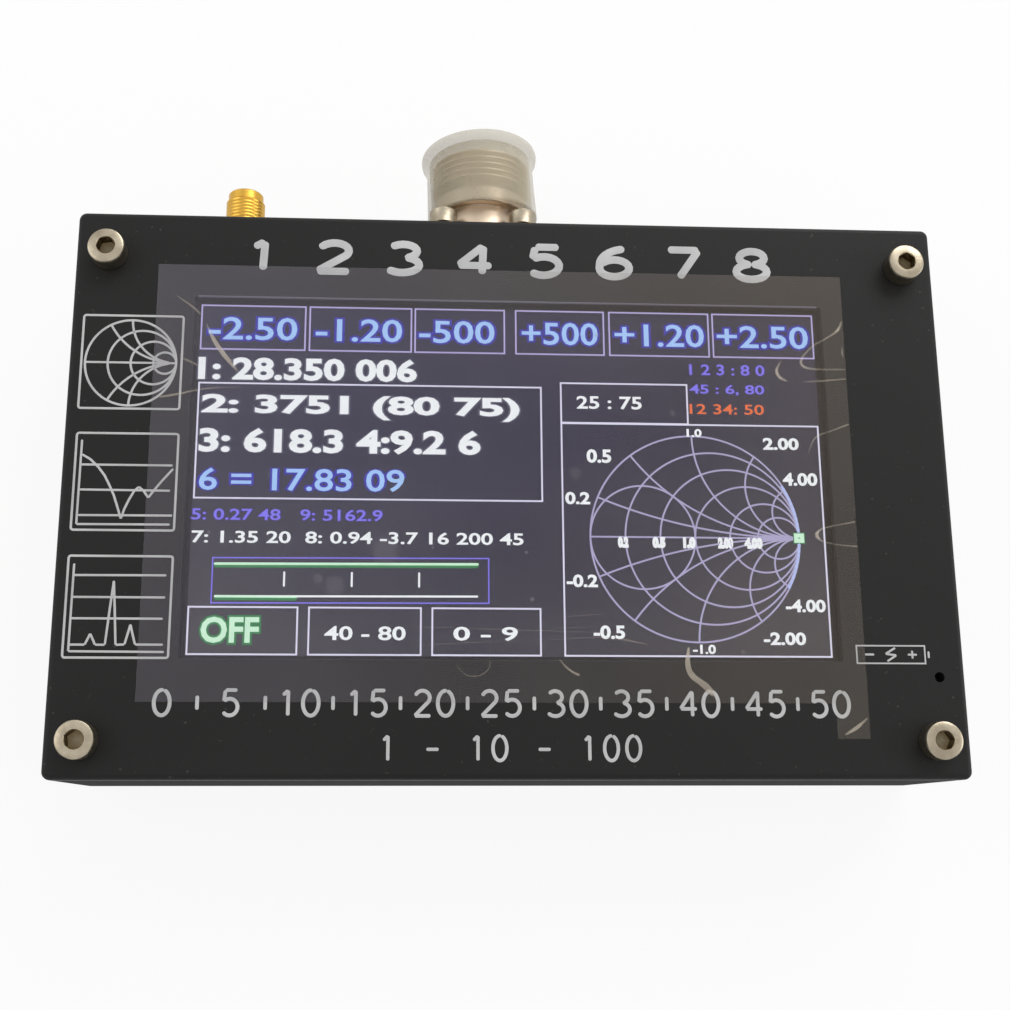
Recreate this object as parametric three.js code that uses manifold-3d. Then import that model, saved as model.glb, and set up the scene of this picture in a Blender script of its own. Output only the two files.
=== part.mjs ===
// Hand-held antenna analyzer, lying on its back.
// Millimetres. +Z points out of the screen, +X to the right of the screen and
// +Y towards the end wall that carries the two antenna sockets.
// The origin is the centre of the flat back face.

import * as THREE from 'three';
import { mergeVertices } from 'three/addons/utils/BufferGeometryUtils.js';
import Module from 'manifold-3d';

const wasm = await Module();
wasm.setup();

// Display: a 4.3 inch module behind a window in the front plate
const activeWidth = 95.04;
const activeHeight = 53.86;
const activeOffsetY = 1.7;
const moduleBorderX = 5.23;
const moduleBorderY = 6.67;
const moduleWidth = activeWidth + moduleBorderX * 2;
const moduleHeight = activeHeight + moduleBorderY * 2;
const moduleDrop = 1.2;
const windowMargin = 0.7;
const windowLip = 1;
const gasketThickness = 0.2;
const gasketInset = 0.5;
const gasketBorder = 0.4;
const touchThickness = 0.8;
const touchBorder = 0.25;
const glassThickness = 1.3;
const backlightThickness = 1.5;
const frameSheet = 0.3;
const displayTapeThickness = 0.8;
const displayTapeInsetX = 17.75;
const displayTapeInsetY = 12.6;

// Case: a deep aluminium tray round the display, closed by a thick front plate
const endMargin = 9.4;
const caseHeight = moduleHeight + endMargin * 2;
const caseDepth = 26;
const cornerRadius = 2;
const edgeRadius = 1.5;
const wall = 2;
const floor = 2;
const panelThickness = 3;
const cutOverrun = 1;

// Running gaps between pieces
const looseGap = 0.3;
const fitGap = 0.15;

// Front screws, socket cap M3, and the corner posts that they hold
const screwInsetX = 5.1;
const screwInsetUpper = 6.85;
const screwInsetLower = 5.45;
const panelScrew = {
  headRadius: 2.75,
  headHeight: 3,
  shankRadius: 1.5,
  shankLength: 9,
  hexAcross: 2.5,
  hexDepth: 1.5,
};
const postRadius = 3.2;
const screwHoleSpare = 1.5;

// Film that protects the screen, with its peel tab
const filmOverlapX = 5.23;
const filmOverlapY = 6.37;
const filmThickness = 0.15;
const filmOffsetX = -1.15;
const filmOffsetY = 1.2;
const filmCornerRadius = 0.6;
const filmTabWidth = 4.7;
const filmTabLength = 5.1;

// Main board, hung from four bosses of the front plate
const boardThickness = 1.6;
const boardEdgeGap = 0.5;
const boardBossMargin = 3;
const bossRadius = 2.75;
const bossGap = 0.8;
const bossEndInset = 5.6;
const boardScrew = {
  headRadius: 2.25,
  headHeight: 1.8,
  shankRadius: 1.25,
  shankLength: 5,
  hexAcross: 1.5,
  hexDepth: 0.9,
};

// Flat ribbons from the display, folded round the lower edge of the board
const ribbonThickness = 0.3;
const displayRibbonWidth = 20.5;
const displayRibbonX = -2;
const displayRibbonDrop = 0.3;
const touchRibbonWidth = 4;
const touchRibbonInset = 24.75;
const ribbonBendGap = 0.4;
const ribbonInsertion = 1.6;
const ribbonConnector = { border: 2.2, depth: 4.6, height: 2, setback: 2.4, slotDepth: 2.2 };
const ribbonReliefGap = 1.25;

// Parts soldered under the main board, as width, height and thickness with a place
const processor = { width: 20, height: 20, thickness: 1.4, x: -22, y: -13 };
const memory = { width: 22, height: 10.2, thickness: 1.1, x: 7, y: -12 };
const crystal = { width: 11, height: 4.6, thickness: 3.5, x: -42, y: -18 };
const synthesizer = { width: 5, height: 5, thickness: 0.9, x: -12, y: 14 };
const shield = { width: 44, height: 23, thickness: 3, x: -8, y: 13.5, sheet: 0.3 };

// Memory card and its socket at the left edge of the main board
const cardWidth = 11;
const cardLength = 15;
const cardThickness = 0.8;
const cardCorner = 1.4;
const cardProud = 0.5;
const cardPush = 0.8;
const cardY = -4;
const cardSocket = { width: 14.4, thickness: 1.9, sheet: 0.35 };

// Micro sockets: one for data on the main board, one for charging on its own board
const port = {
  width: 7.6,
  thickness: 2.6,
  length: 5.4,
  sheet: 0.3,
  chamfer: 1,
  tongueWidth: 4,
  tongueThickness: 0.6,
  tongueSetback: 0.6,
};
const portOpeningGap = 0.45;
const dataPortY = 14;
const lampToPortGap = 1.4;

// End sockets: large threaded socket with a square flange, and a small one with a nut
const largeSocketX = -4;
const flangeThickness = 2;
const flangeScrewSpacing = 12.7;
const flangeScrewInset = 2.4;
const flangeScrew = {
  headRadius: 2.25,
  headHeight: 2.5,
  shankRadius: 1.25,
  shankLength: 7,
  hexAcross: 2,
  hexDepth: 1.2,
};
const flangeSize = flangeScrewSpacing + flangeScrewInset * 2;
const padThickness = 2;
const padMargin = 1.75;
const padWidth = flangeSize + padMargin * 2;
const neckRadius = 6;
const neckLength = 4.2;
const collarRadius = 7.6;
const collarLength = 2.6;
const reliefRadius = 6.9;
const reliefLength = 1.3;
const threadRadius = 7.9;
const threadDepth = 0.55;
const threadPitch = 1.06;
const threadTurns = 5;
const mouthRadius = 4.1;
const mouthDepth = 8.6;
const mouthChamfer = 0.6;
const largeRearWall = 0.8;
const largeRearRadius = mouthRadius + largeRearWall;
const largeRearLength = 5;
const largeContactRadius = 1.5;
const largeContactBore = 0.85;
const largeContactBoreDepth = 4;
const largeContactSetback = 2.2;
const largeContactTail = 2.6;

const smallSocketInset = 23.6;
const smallThreadRadius = 3.175;
const smallThreadDepth = 0.25;
const smallThreadPitch = 0.705;
const smallTipStep = 0.475;
const smallTipRadius = smallThreadRadius - smallTipStep;
const smallTipWall = 0.65;
const smallTipLength = 2;
const smallReach = 9.9;
const smallBoreRadius = smallTipRadius - smallTipWall;
const smallHexThickness = 2.2;
const smallRearWall = 0.35;
const smallRearRadius = smallBoreRadius + smallRearWall;
const smallRearLength = 3.6;
const smallContactRadius = 0.63;
const smallInsulatorSetback = 0.5;
const washerBorder = 1.525;
const washerRadius = smallThreadRadius + washerBorder;
const washerThickness = 0.6;
const nutWall = 0.825;
const nutAcross = (smallThreadRadius + nutWall) * 2;
const nutThickness = 2.1;

// Internal coax tails from the end sockets up to the main board
const coaxRadius = 1.1;
const coaxRise = 1.95;

// Push-on dust cap of the large socket
const capScrewGap = 1.3;
const capEndGap = 1.3;
const capThreadGap = 0.45;
const capWall = { rim: 0.75, waist: 0.5, lip: 1.25 };
const capLipLength = 2.2;
const capEndThickness = 1.4;
const capTilt = THREE.MathUtils.degToRad(3);

// Battery pouch on the floor of the tray
const batteryGap = { left: 12.5, right: 26.5, lower: 9, upper: 13 };
const batteryThickness = 6;
const batteryEdge = 1.6;
const batteryTapeThickness = 0.5;
const batteryTapeInset = 6;
const leadRadius = 0.7;
const leadSpacing = 2;
const leadInset = 6;
const leadReach = 9;

// Charging board on two bosses beside the battery
const chargeBoard = { width: 22.2, postGap: 0.95, switchGap: 3.3, thickness: 1.2, headroom: 0.5 };
const chargeBossRadius = 2.4;
const chargeScrew = {
  headRadius: 2,
  headHeight: 1.6,
  shankRadius: 1,
  shankLength: 5,
  hexAcross: 1.5,
  hexDepth: 0.8,
};
const chargeScrewInset = { left: 4, lower: 3.4, right: 7.7, fromPort: 5.3 };
const charger = { width: 5, height: 4, thickness: 1.5, fromLeft: 8, fromLower: 13.4 };
const header = { width: 10.2, height: 2.6, fromLeft: 10, fromUpper: 10.5 };
const batterySocket = { width: 6, length: 7, height: 4.4, fromLeft: 7, sheet: 0.8, cavityDepth: 5 };
const batteryPlug = { inset: 0.2, insertion: 4.6, length: 7.2 };

// Charging lamp under its hole in the front plate, between the main board and the right wall
const ledBoardGap = 1.85;
const ledInsetX = 3.95;
const ledInsetY = 14.8;
const ledHoleRadius = 0.75;
const ledRadius = 1.4;
const ledFlangeHeight = 0.8;
const ledDrop = 0.4;
const ledBodyLength = 3.2;
const ledLegSize = 0.5;
const ledLegSpacing = 1.27;

// Power slide switch behind the right wall
const portToSwitchGap = 9.9;
const switchBody = { length: 8.6, depth: 4.4, height: 4.3 };
const leverWidth = 2;
const leverHeight = 1.8;
const leverProud = 2.4;
const leverRoot = 1.7;
const leverTravel = 2;

// Facet counts; a curve's count is doubled on a round stretch of an outline
const cornerSteps = 3;
const edgeSteps = 3;
const screwSides = 16;
const socketSides = 28;
const smallSides = 20;
const holeSides = 14;
const coaxSides = 5;
const coaxSteps = 9;
const leadSides = 4;
const leadSteps = 12;
const ribbonSteps = 4;
const domeSteps = 4;

// Planes that several pieces share, outwards from the display
const bossX = moduleWidth / 2 + bossGap + bossRadius;
const bossY = moduleHeight / 2 - bossEndInset;
const boardRightX = bossX + boardBossMargin;
const ledX = boardRightX + ledBoardGap + ledRadius;
const halfWidth = ledX + ledInsetX;
const halfHeight = caseHeight / 2;
const caseWidth = halfWidth * 2;
const innerX = halfWidth - wall;
const innerY = halfHeight - wall;
const seamZ = caseDepth - panelThickness;
const lipZ = caseDepth - windowLip;
const touchTopZ = lipZ - gasketThickness;
const glassTopZ = touchTopZ - touchThickness;
const backlightTopZ = glassTopZ - glassThickness;
const frameFloorZ = backlightTopZ - backlightThickness;
const frameBackZ = frameFloorZ - frameSheet;
const boardTopZ = frameBackZ - displayTapeThickness;
const boardBottomZ = boardTopZ - boardThickness;
const moduleY = activeOffsetY - moduleDrop;
const moduleLowerY = moduleY - moduleHeight / 2;
const screwRows = [halfHeight - screwInsetUpper, screwInsetLower - halfHeight];
const screwColumns = [screwInsetX - halfWidth, halfWidth - screwInsetX];
const boardLeftX = -innerX + boardEdgeGap;
const boardUpperY = screwRows[0] - postRadius - boardEdgeGap;
const boardLowerY = screwRows[1] + postRadius + boardEdgeGap;
const endFaceY = halfHeight;
const socketAxisZ = caseDepth / 2;
const smallSocketX = smallSocketInset - halfWidth;
const touchRibbonX = moduleWidth / 2 - touchRibbonInset;
const ribbonLowZ = boardBottomZ - ribbonConnector.height / 2;
const displayRibbonZ = backlightTopZ - displayRibbonDrop;
const touchRibbonZ = glassTopZ + touchThickness / 2;
const ledY = ledInsetY - halfHeight;
const chargePortY = ledY + ledRadius + lampToPortGap + port.width / 2;
const switchY = chargePortY + port.width / 2 + portToSwitchGap + switchBody.length / 2;

// The charging board's edges and top, from the walls, the corner post and the switch
const chargeRightX = innerX - looseGap;
const chargeLeftX = chargeRightX - chargeBoard.width;
const chargeLowerY = screwRows[1] + postRadius + chargeBoard.postGap;
const chargeUpperY = switchY + switchBody.length / 2 + chargeBoard.switchGap;
const chargeTopZ = boardBottomZ - batterySocket.height - chargeBoard.headroom;
const chargeScrewPlaces = [
  { x: chargeLeftX + chargeScrewInset.left, y: chargeLowerY + chargeScrewInset.lower },
  { x: chargeRightX - chargeScrewInset.right, y: chargePortY + port.width / 2 + chargeScrewInset.fromPort },
];

const finish = {
  blackCase: metal('#2f2d2e', 0.5, 0.7),
  steel: metal('#a79c88', 0.35, 1),
  nickel: metal('#b9ad9c', 0.3, 1),
  gold: metal('#cf9c3c', 0.28, 1),
  tinPlate: metal('#a9adb0', 0.4, 1),
  film: plastic('#b9b2b8', 0.15),
  foam: plastic('#151416', 0.9),
  glass: plastic('#26262c', 0.08),
  picture: plastic('#4b4652', 0.2),
  lightGuide: plastic('#e9ebee', 0.4),
  boardGreen: plastic('#12402c', 0.5),
  ribbonAmber: plastic('#8f5a1e', 0.4),
  chip: plastic('#1a1a1c', 0.6),
  connector: plastic('#d9d3c4', 0.55),
  insulator: plastic('#ece9e2', 0.6),
  cap: plastic('#c4baa6', 0.4),
  coax: plastic('#7d4b28', 0.4),
  battery: plastic('#8c9196', 0.45),
  tape: plastic('#d8cf9a', 0.7),
  red: plastic('#a81f1c', 0.5),
  black: plastic('#161616', 0.5),
  lamp: plastic('#cfd6cf', 0.2),
};

function metal(color, roughness, metalness) {
  return new THREE.MeshStandardMaterial({ color, roughness, metalness });
}

function plastic(color, roughness) {
  return new THREE.MeshStandardMaterial({ color, roughness, metalness: 0 });
}

const analyzer = new THREE.Group();

function addPiece(name, shape, material) {
  const geometry = shape.isBufferGeometry ? shape : toGeometry(shape);
  const mesh = new THREE.Mesh(geometry, material);
  mesh.name = name;
  analyzer.add(mesh);
  return mesh;
}

// A closed three.js geometry as a solid that can be joined and cut
function toSolid(geometry) {
  const bare = geometry.clone();
  bare.deleteAttribute('normal');
  bare.deleteAttribute('uv');
  const merged = mergeVertices(bare);
  return new wasm.Manifold(new wasm.Mesh({
    numProp: 3,
    vertProperties: new Float32Array(merged.attributes.position.array),
    triVerts: new Uint32Array(merged.index.array),
  }));
}

function toGeometry(solid) {
  const mesh = solid.getMesh();
  const geometry = new THREE.BufferGeometry();
  geometry.setAttribute('position', new THREE.BufferAttribute(mesh.vertProperties, 3));
  geometry.setIndex(new THREE.BufferAttribute(mesh.triVerts, 1));
  geometry.computeVertexNormals();
  return geometry;
}

function joined(first, ...rest) {
  return rest.reduce((whole, next) => whole.add(next), first);
}

function cut(first, ...tools) {
  return tools.reduce((left, tool) => left.subtract(tool), first);
}

// A box between two corners
function boxGeometry(low, high) {
  const [width, height, depth] = high.map((value, i) => value - low[i]);
  const geometry = new THREE.BoxGeometry(width, height, depth);
  return geometry.translate(low[0] + width / 2, low[1] + height / 2, low[2] + depth / 2);
}

function box(low, high) {
  return toSolid(boxGeometry(low, high));
}

// A box centred on x and y, from one height to another
function slab(x, y, width, height, lowZ, highZ) {
  return box([x - width / 2, y - height / 2, lowZ], [x + width / 2, y + height / 2, highZ]);
}

function cylinderZ(radius, x, y, lowZ, highZ, sides) {
  const geometry = new THREE.CylinderGeometry(radius, radius, highZ - lowZ, sides);
  geometry.rotateX(Math.PI / 2);
  return toSolid(geometry.translate(x, y, (lowZ + highZ) / 2));
}

function cylinderY(radius, x, z, lowY, highY, sides) {
  const geometry = new THREE.CylinderGeometry(radius, radius, highY - lowY, sides);
  return toSolid(geometry.translate(x, (lowY + highY) / 2, z));
}

function hexRadius(across) {
  return across / 2 / Math.cos(Math.PI / 6);
}

// A turned piece: radius and height pairs, closed on the axis or on themselves
function turned(profile, sides) {
  const points = profile.map(([radius, height]) => new THREE.Vector2(radius, height));
  return toSolid(new THREE.LatheGeometry(points, sides));
}

function roundedRectangle(width, height, radius) {
  const right = width / 2;
  const top = height / 2;
  const shape = new THREE.Shape();
  shape.moveTo(radius - right, -top);
  shape.absarc(right - radius, radius - top, radius, -Math.PI / 2, 0);
  shape.absarc(right - radius, top - radius, radius, 0, Math.PI / 2);
  shape.absarc(radius - right, top - radius, radius, Math.PI / 2, Math.PI);
  shape.absarc(radius - right, radius - top, radius, Math.PI, Math.PI * 1.5);
  return shape;
}

function extrudeZ(shape, lowZ, highZ, curveSegments) {
  const geometry = new THREE.ExtrudeGeometry(shape, {
    depth: highZ - lowZ,
    bevelEnabled: false,
    curveSegments,
  });
  return toSolid(geometry.translate(0, 0, lowZ));
}

// A shape drawn as y and z, drawn out along x
function extrudeX(shape, lowX, highX, curveSegments) {
  const geometry = new THREE.ExtrudeGeometry(shape, {
    depth: highX - lowX,
    bevelEnabled: false,
    curveSegments,
  });
  const turn = new THREE.Matrix4().makeBasis(
    new THREE.Vector3(0, 1, 0),
    new THREE.Vector3(0, 0, 1),
    new THREE.Vector3(1, 0, 0),
  );
  return toSolid(geometry.applyMatrix4(turn).translate(lowX, 0, 0));
}

// A plate with rounded edges on both faces
function roundedBlock(width, height, depth, corner, edge, steps) {
  const geometry = new THREE.ExtrudeGeometry(roundedRectangle(width, height, corner), {
    depth: depth - edge * 2,
    bevelThickness: edge,
    bevelSize: edge,
    bevelOffset: -edge,
    bevelSegments: steps,
    curveSegments: cornerSteps,
  });
  return toSolid(geometry.translate(0, 0, edge));
}

// A socket cap screw standing on the origin, head up and shank down
function capScrew(size) {
  const head = cylinderZ(size.headRadius, 0, 0, 0, size.headHeight, screwSides);
  const shank = cylinderZ(size.shankRadius, 0, 0, -size.shankLength, size.headHeight / 2, screwSides);
  const hex = cylinderZ(
    hexRadius(size.hexAcross), 0, 0, size.headHeight - size.hexDepth, size.headHeight + cutOverrun, 6,
  );
  return cut(joined(head, shank), hex);
}

function screwHole(size, x, y, lowZ, highZ) {
  return cylinderZ(size.shankRadius + fitGap, x, y, lowZ, highZ, holeSides);
}

const screwPlaces = screwRows.flatMap((y) => screwColumns.map((x) => ({ x, y })));
const bossPlaces = [bossY, -bossY].flatMap((y) => [-bossX, bossX].map((x) => ({ x, y })));
const caseBlock = roundedBlock(caseWidth, caseHeight, caseDepth, cornerRadius, edgeRadius, edgeSteps);

// The ribbons fold down past the display and the board, as deep as the socket under the board
const ribbonFoldY = Math.min(moduleLowerY, boardLowerY) - ribbonBendGap;

function ribbonFoldRadius(topZ) {
  return (topZ - ribbonLowZ + ribbonThickness) / 2;
}

// Front plate with its window, display pocket, lamp hole and board bosses
function frontPanel() {
  const topZ = caseDepth + cutOverrun;
  const above = slab(0, 0, caseWidth + cutOverrun, caseHeight + cutOverrun, seamZ, topZ);
  const windowWidth = activeWidth + windowMargin * 2;
  const windowHeight = activeHeight + windowMargin * 2;
  const windowCut = slab(0, activeOffsetY, windowWidth, windowHeight, seamZ, topZ);
  const pocket = slab(
    0, moduleY, moduleWidth + looseGap * 2, moduleHeight + looseGap * 2, seamZ - cutOverrun, lipZ,
  );
  const reliefLowerY = ribbonFoldY - ribbonFoldRadius(touchRibbonZ) - ribbonReliefGap;
  const relief = box(
    [touchRibbonX - touchRibbonWidth / 2 - looseGap, reliefLowerY, seamZ - cutOverrun],
    [touchRibbonX + touchRibbonWidth / 2 + looseGap, moduleLowerY, lipZ],
  );
  const screwHoles = screwPlaces.map(({ x, y }) => (
    screwHole(panelScrew, x, y, seamZ - cutOverrun, topZ)
  ));
  const lampHole = cylinderZ(ledHoleRadius, ledX, ledY, seamZ - cutOverrun, topZ, holeSides);
  const plate = cut(caseBlock.intersect(above), windowCut, pocket, relief, lampHole, ...screwHoles);
  const bosses = bossPlaces.map(({ x, y }) => (
    cylinderZ(bossRadius, x, y, boardTopZ, seamZ + fitGap, holeSides)
  ));
  const bossHoleTop = boardBottomZ + boardScrew.shankLength + fitGap;
  const bossHoles = bossPlaces.map(({ x, y }) => (
    screwHole(boardScrew, x, y, boardTopZ - cutOverrun, bossHoleTop)
  ));
  return cut(joined(plate, ...bosses), ...bossHoles);
}
addPiece('front_panel', frontPanel(), finish.blackCase);

// A micro socket's outline, as y and z about its middle, with its two lower corners cut
function portOutline(grow) {
  const half = port.width / 2 + grow;
  const top = port.thickness / 2 + grow;
  const shape = new THREE.Shape();
  shape.moveTo(-half, top);
  shape.lineTo(-half, port.chamfer - top);
  shape.lineTo(port.chamfer - half, -top);
  shape.lineTo(half - port.chamfer, -top);
  shape.lineTo(half, port.chamfer - top);
  shape.lineTo(half, top);
  return shape;
}

const dataPortZ = boardBottomZ - port.thickness / 2;
const chargePortZ = chargeTopZ + port.thickness / 2;
const cardZ = boardBottomZ - cardSocket.thickness / 2;
const switchZ = chargeTopZ + switchBody.height / 2;
const leverRestY = switchY + leverTravel / 2;

function flangeScrewPlaces() {
  const half = flangeScrewSpacing / 2;
  return [half, -half].flatMap((dz) => (
    [-half, half].map((dx) => ({ x: largeSocketX + dx, z: socketAxisZ + dz }))
  ));
}

// Tray with its corner posts, the pad behind the flange and all wall openings
function rearCase() {
  const below = slab(0, 0, caseWidth + cutOverrun, caseHeight + cutOverrun, -cutOverrun, seamZ);
  const hollow = slab(0, 0, innerX * 2, innerY * 2, floor, seamZ + cutOverrun);
  const posts = screwPlaces.map(({ x, y }) => {
    const round = cylinderZ(postRadius, x, y, floor / 2, seamZ, holeSides);
    const wallX = Math.sign(x) * (innerX + wall / 2);
    const wallY = Math.sign(y) * (innerY + wall / 2);
    const web = box(
      [Math.min(x, wallX), Math.min(y, wallY), floor / 2],
      [Math.max(x, wallX), Math.max(y, wallY), seamZ],
    );
    return joined(round, web);
  });
  const postHoleLow = caseDepth - panelScrew.shankLength - screwHoleSpare;
  const postHoles = screwPlaces.map(({ x, y }) => (
    screwHole(panelScrew, x, y, postHoleLow, seamZ + cutOverrun)
  ));
  const pad = box(
    [largeSocketX - padWidth / 2, innerY - padThickness, floor / 2],
    [largeSocketX + padWidth / 2, innerY + wall / 2, seamZ],
  );
  const chargeBosses = chargeScrewPlaces.map(({ x, y }) => (
    cylinderZ(chargeBossRadius, x, y, floor / 2, chargeTopZ - chargeBoard.thickness, holeSides)
  ));
  const chargeHoles = chargeScrewPlaces.map(({ x, y }) => (
    screwHole(chargeScrew, x, y, chargeTopZ - chargeScrew.shankLength - fitGap, chargeTopZ)
  ));
  const sideCutX = innerX - cutOverrun;
  const sideCutEnd = halfWidth + cutOverrun;
  const dataOpening = extrudeX(portOutline(portOpeningGap), -sideCutEnd, -sideCutX)
    .translate([0, dataPortY, dataPortZ]);
  const chargeOpening = extrudeX(portOutline(portOpeningGap), sideCutX, sideCutEnd)
    .translate([0, chargePortY, chargePortZ]);
  const cardOpening = box(
    [-sideCutEnd, cardY - cardWidth / 2 - looseGap, cardZ - cardThickness / 2 - looseGap],
    [-sideCutX, cardY + cardWidth / 2 + looseGap, cardZ + cardThickness / 2 + looseGap],
  );
  const leverHalf = (leverWidth + leverTravel) / 2 + looseGap;
  const leverOpening = box(
    [sideCutX, switchY - leverHalf, switchZ - leverHeight / 2 - looseGap],
    [sideCutEnd, switchY + leverHalf, switchZ + leverHeight / 2 + looseGap],
  );
  const endCutY = innerY - padThickness - cutOverrun;
  const endCutEnd = endFaceY + cutOverrun;
  const largeHoleRadius = largeRearRadius + looseGap;
  const smallHoleRadius = smallThreadRadius + looseGap;
  const largeHole = cylinderY(largeHoleRadius, largeSocketX, socketAxisZ, endCutY, endCutEnd, socketSides);
  const smallHole = cylinderY(smallHoleRadius, smallSocketX, socketAxisZ, endCutY, endCutEnd, smallSides);
  const flangeHoles = flangeScrewPlaces().map(({ x, z }) => (
    cylinderY(flangeScrew.shankRadius + fitGap, x, z, endCutY, endCutEnd, holeSides)
  ));
  const shell = cut(caseBlock.intersect(below), hollow);
  const filled = joined(shell, ...posts.map((post) => post.intersect(caseBlock)), pad, ...chargeBosses);
  return cut(
    filled, ...postHoles, ...chargeHoles, dataOpening, chargeOpening, cardOpening, leverOpening,
    largeHole, smallHole, ...flangeHoles,
  );
}
addPiece('rear_case', rearCase(), finish.blackCase);

screwPlaces.forEach(({ x, y }, i) => {
  addPiece(`panel_screw_${i + 1}`, capScrew(panelScrew).translate([x, y, caseDepth]), finish.steel);
});

// Protective film with a small peel tab at its lower right corner
function protectiveFilm() {
  const filmWidth = activeWidth + filmOverlapX * 2;
  const filmHeight = activeHeight + filmOverlapY * 2;
  const outline = roundedRectangle(filmWidth, filmHeight, filmCornerRadius);
  const sheet = extrudeZ(outline, caseDepth, caseDepth + filmThickness, cornerSteps);
  const tabLow = -filmHeight / 2 - filmTabLength;
  const tab = box(
    [filmWidth / 2 - filmTabWidth, tabLow, caseDepth],
    [filmWidth / 2, filmCornerRadius * 2 - filmHeight / 2, caseDepth + filmThickness],
  );
  return joined(sheet, tab).translate([filmOffsetX, filmOffsetY, 0]);
}
addPiece('protective_film', protectiveFilm(), finish.film);

// Display stack: gasket, touch panel, picture glass, light guide and the steel frame round them
function windowGasket() {
  const outerWidth = moduleWidth - gasketBorder * 2;
  const outerHeight = moduleHeight - gasketBorder * 2;
  const innerWidth = activeWidth + (windowMargin + gasketInset) * 2;
  const innerHeight = activeHeight + (windowMargin + gasketInset) * 2;
  const outer = slab(0, moduleY, outerWidth, outerHeight, touchTopZ, lipZ);
  const inner = slab(0, activeOffsetY, innerWidth, innerHeight, touchTopZ - cutOverrun, lipZ + cutOverrun);
  return cut(outer, inner);
}
addPiece('window_gasket', windowGasket(), finish.foam);

addPiece(
  'touch_panel',
  slab(0, moduleY, moduleWidth - touchBorder * 2, moduleHeight - touchBorder * 2, glassTopZ, touchTopZ),
  finish.glass,
);

const frameInnerWidth = moduleWidth - frameSheet * 2;
const frameInnerHeight = moduleHeight - frameSheet * 2;
const stackWidth = frameInnerWidth - fitGap * 2;
const stackHeight = frameInnerHeight - fitGap * 2;
addPiece(
  'lcd_glass',
  slab(0, moduleY, stackWidth, stackHeight, backlightTopZ, glassTopZ),
  finish.picture,
);
addPiece(
  'backlight',
  slab(0, moduleY, stackWidth, stackHeight, frameFloorZ, backlightTopZ),
  finish.lightGuide,
);

function lcdFrame() {
  const outer = slab(0, moduleY, moduleWidth, moduleHeight, frameBackZ, glassTopZ);
  const topZ = glassTopZ + cutOverrun;
  const inner = slab(0, moduleY, frameInnerWidth, frameInnerHeight, frameFloorZ, topZ);
  const slotHalf = displayRibbonWidth / 2 + looseGap;
  const slot = box(
    [displayRibbonX - slotHalf, moduleLowerY - cutOverrun, displayRibbonZ - ribbonThickness / 2 - fitGap],
    [displayRibbonX + slotHalf, moduleLowerY + frameSheet, topZ],
  );
  return cut(outer, inner, slot);
}
addPiece('lcd_frame', lcdFrame(), finish.tinPlate);

addPiece(
  'display_tape',
  slab(
    0, moduleY, moduleWidth - displayTapeInsetX * 2, moduleHeight - displayTapeInsetY * 2,
    boardTopZ, frameBackZ,
  ),
  finish.foam,
);

// Main board and its four screws, heads down
function mainBoard() {
  const plate = box([boardLeftX, boardLowerY, boardBottomZ], [boardRightX, boardUpperY, boardTopZ]);
  const holes = bossPlaces.map(({ x, y }) => (
    screwHole(boardScrew, x, y, boardBottomZ - cutOverrun, boardTopZ + cutOverrun)
  ));
  return cut(plate, ...holes);
}
addPiece('main_board', mainBoard(), finish.boardGreen);

bossPlaces.forEach(({ x, y }, i) => {
  const screw = capScrew(boardScrew).rotate([180, 0, 0]).translate([x, y, boardBottomZ]);
  addPiece(`board_screw_${i + 1}`, screw, finish.steel);
});

// A ribbon that leaves the display towards -Y, folds down round the board and comes back
function foldedRibbon(x, width, startY, topZ) {
  const half = ribbonThickness / 2;
  const middleZ = (topZ + ribbonLowZ) / 2;
  const outer = ribbonFoldRadius(topZ);
  const inner = outer - ribbonThickness;
  const endY = boardLowerY + ribbonConnector.setback + ribbonInsertion;
  const shape = new THREE.Shape();
  shape.moveTo(startY, topZ + half);
  shape.lineTo(ribbonFoldY, topZ + half);
  shape.absarc(ribbonFoldY, middleZ, outer, Math.PI / 2, Math.PI * 1.5, false);
  shape.lineTo(endY, ribbonLowZ - half);
  shape.lineTo(endY, ribbonLowZ + half);
  shape.lineTo(ribbonFoldY, ribbonLowZ + half);
  shape.absarc(ribbonFoldY, middleZ, inner, Math.PI * 1.5, Math.PI / 2, true);
  shape.lineTo(startY, topZ - half);
  return extrudeX(shape, x - width / 2, x + width / 2, ribbonSteps);
}

// The socket under the board that takes a ribbon's end
function ribbonSocket(x, width) {
  const faceY = boardLowerY + ribbonConnector.setback;
  const lowZ = boardBottomZ - ribbonConnector.height;
  const half = width / 2 + ribbonConnector.border;
  const body = box([x - half, faceY, lowZ], [x + half, faceY + ribbonConnector.depth, boardBottomZ]);
  const slotHalf = width / 2 + looseGap;
  const slot = box(
    [x - slotHalf, faceY - cutOverrun, ribbonLowZ - ribbonThickness / 2 - fitGap],
    [x + slotHalf, faceY + ribbonConnector.slotDepth, ribbonLowZ + ribbonThickness / 2 + fitGap],
  );
  return cut(body, slot);
}

const backlightLowerY = moduleY - frameInnerHeight / 2 + fitGap;
const touchLowerY = moduleLowerY + touchBorder;
addPiece(
  'display_ribbon',
  foldedRibbon(displayRibbonX, displayRibbonWidth, backlightLowerY, displayRibbonZ),
  finish.ribbonAmber,
);
addPiece('display_socket', ribbonSocket(displayRibbonX, displayRibbonWidth), finish.connector);
addPiece(
  'touch_ribbon',
  foldedRibbon(touchRibbonX, touchRibbonWidth, touchLowerY, touchRibbonZ),
  finish.ribbonAmber,
);
addPiece('touch_socket', ribbonSocket(touchRibbonX, touchRibbonWidth), finish.connector);

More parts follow.
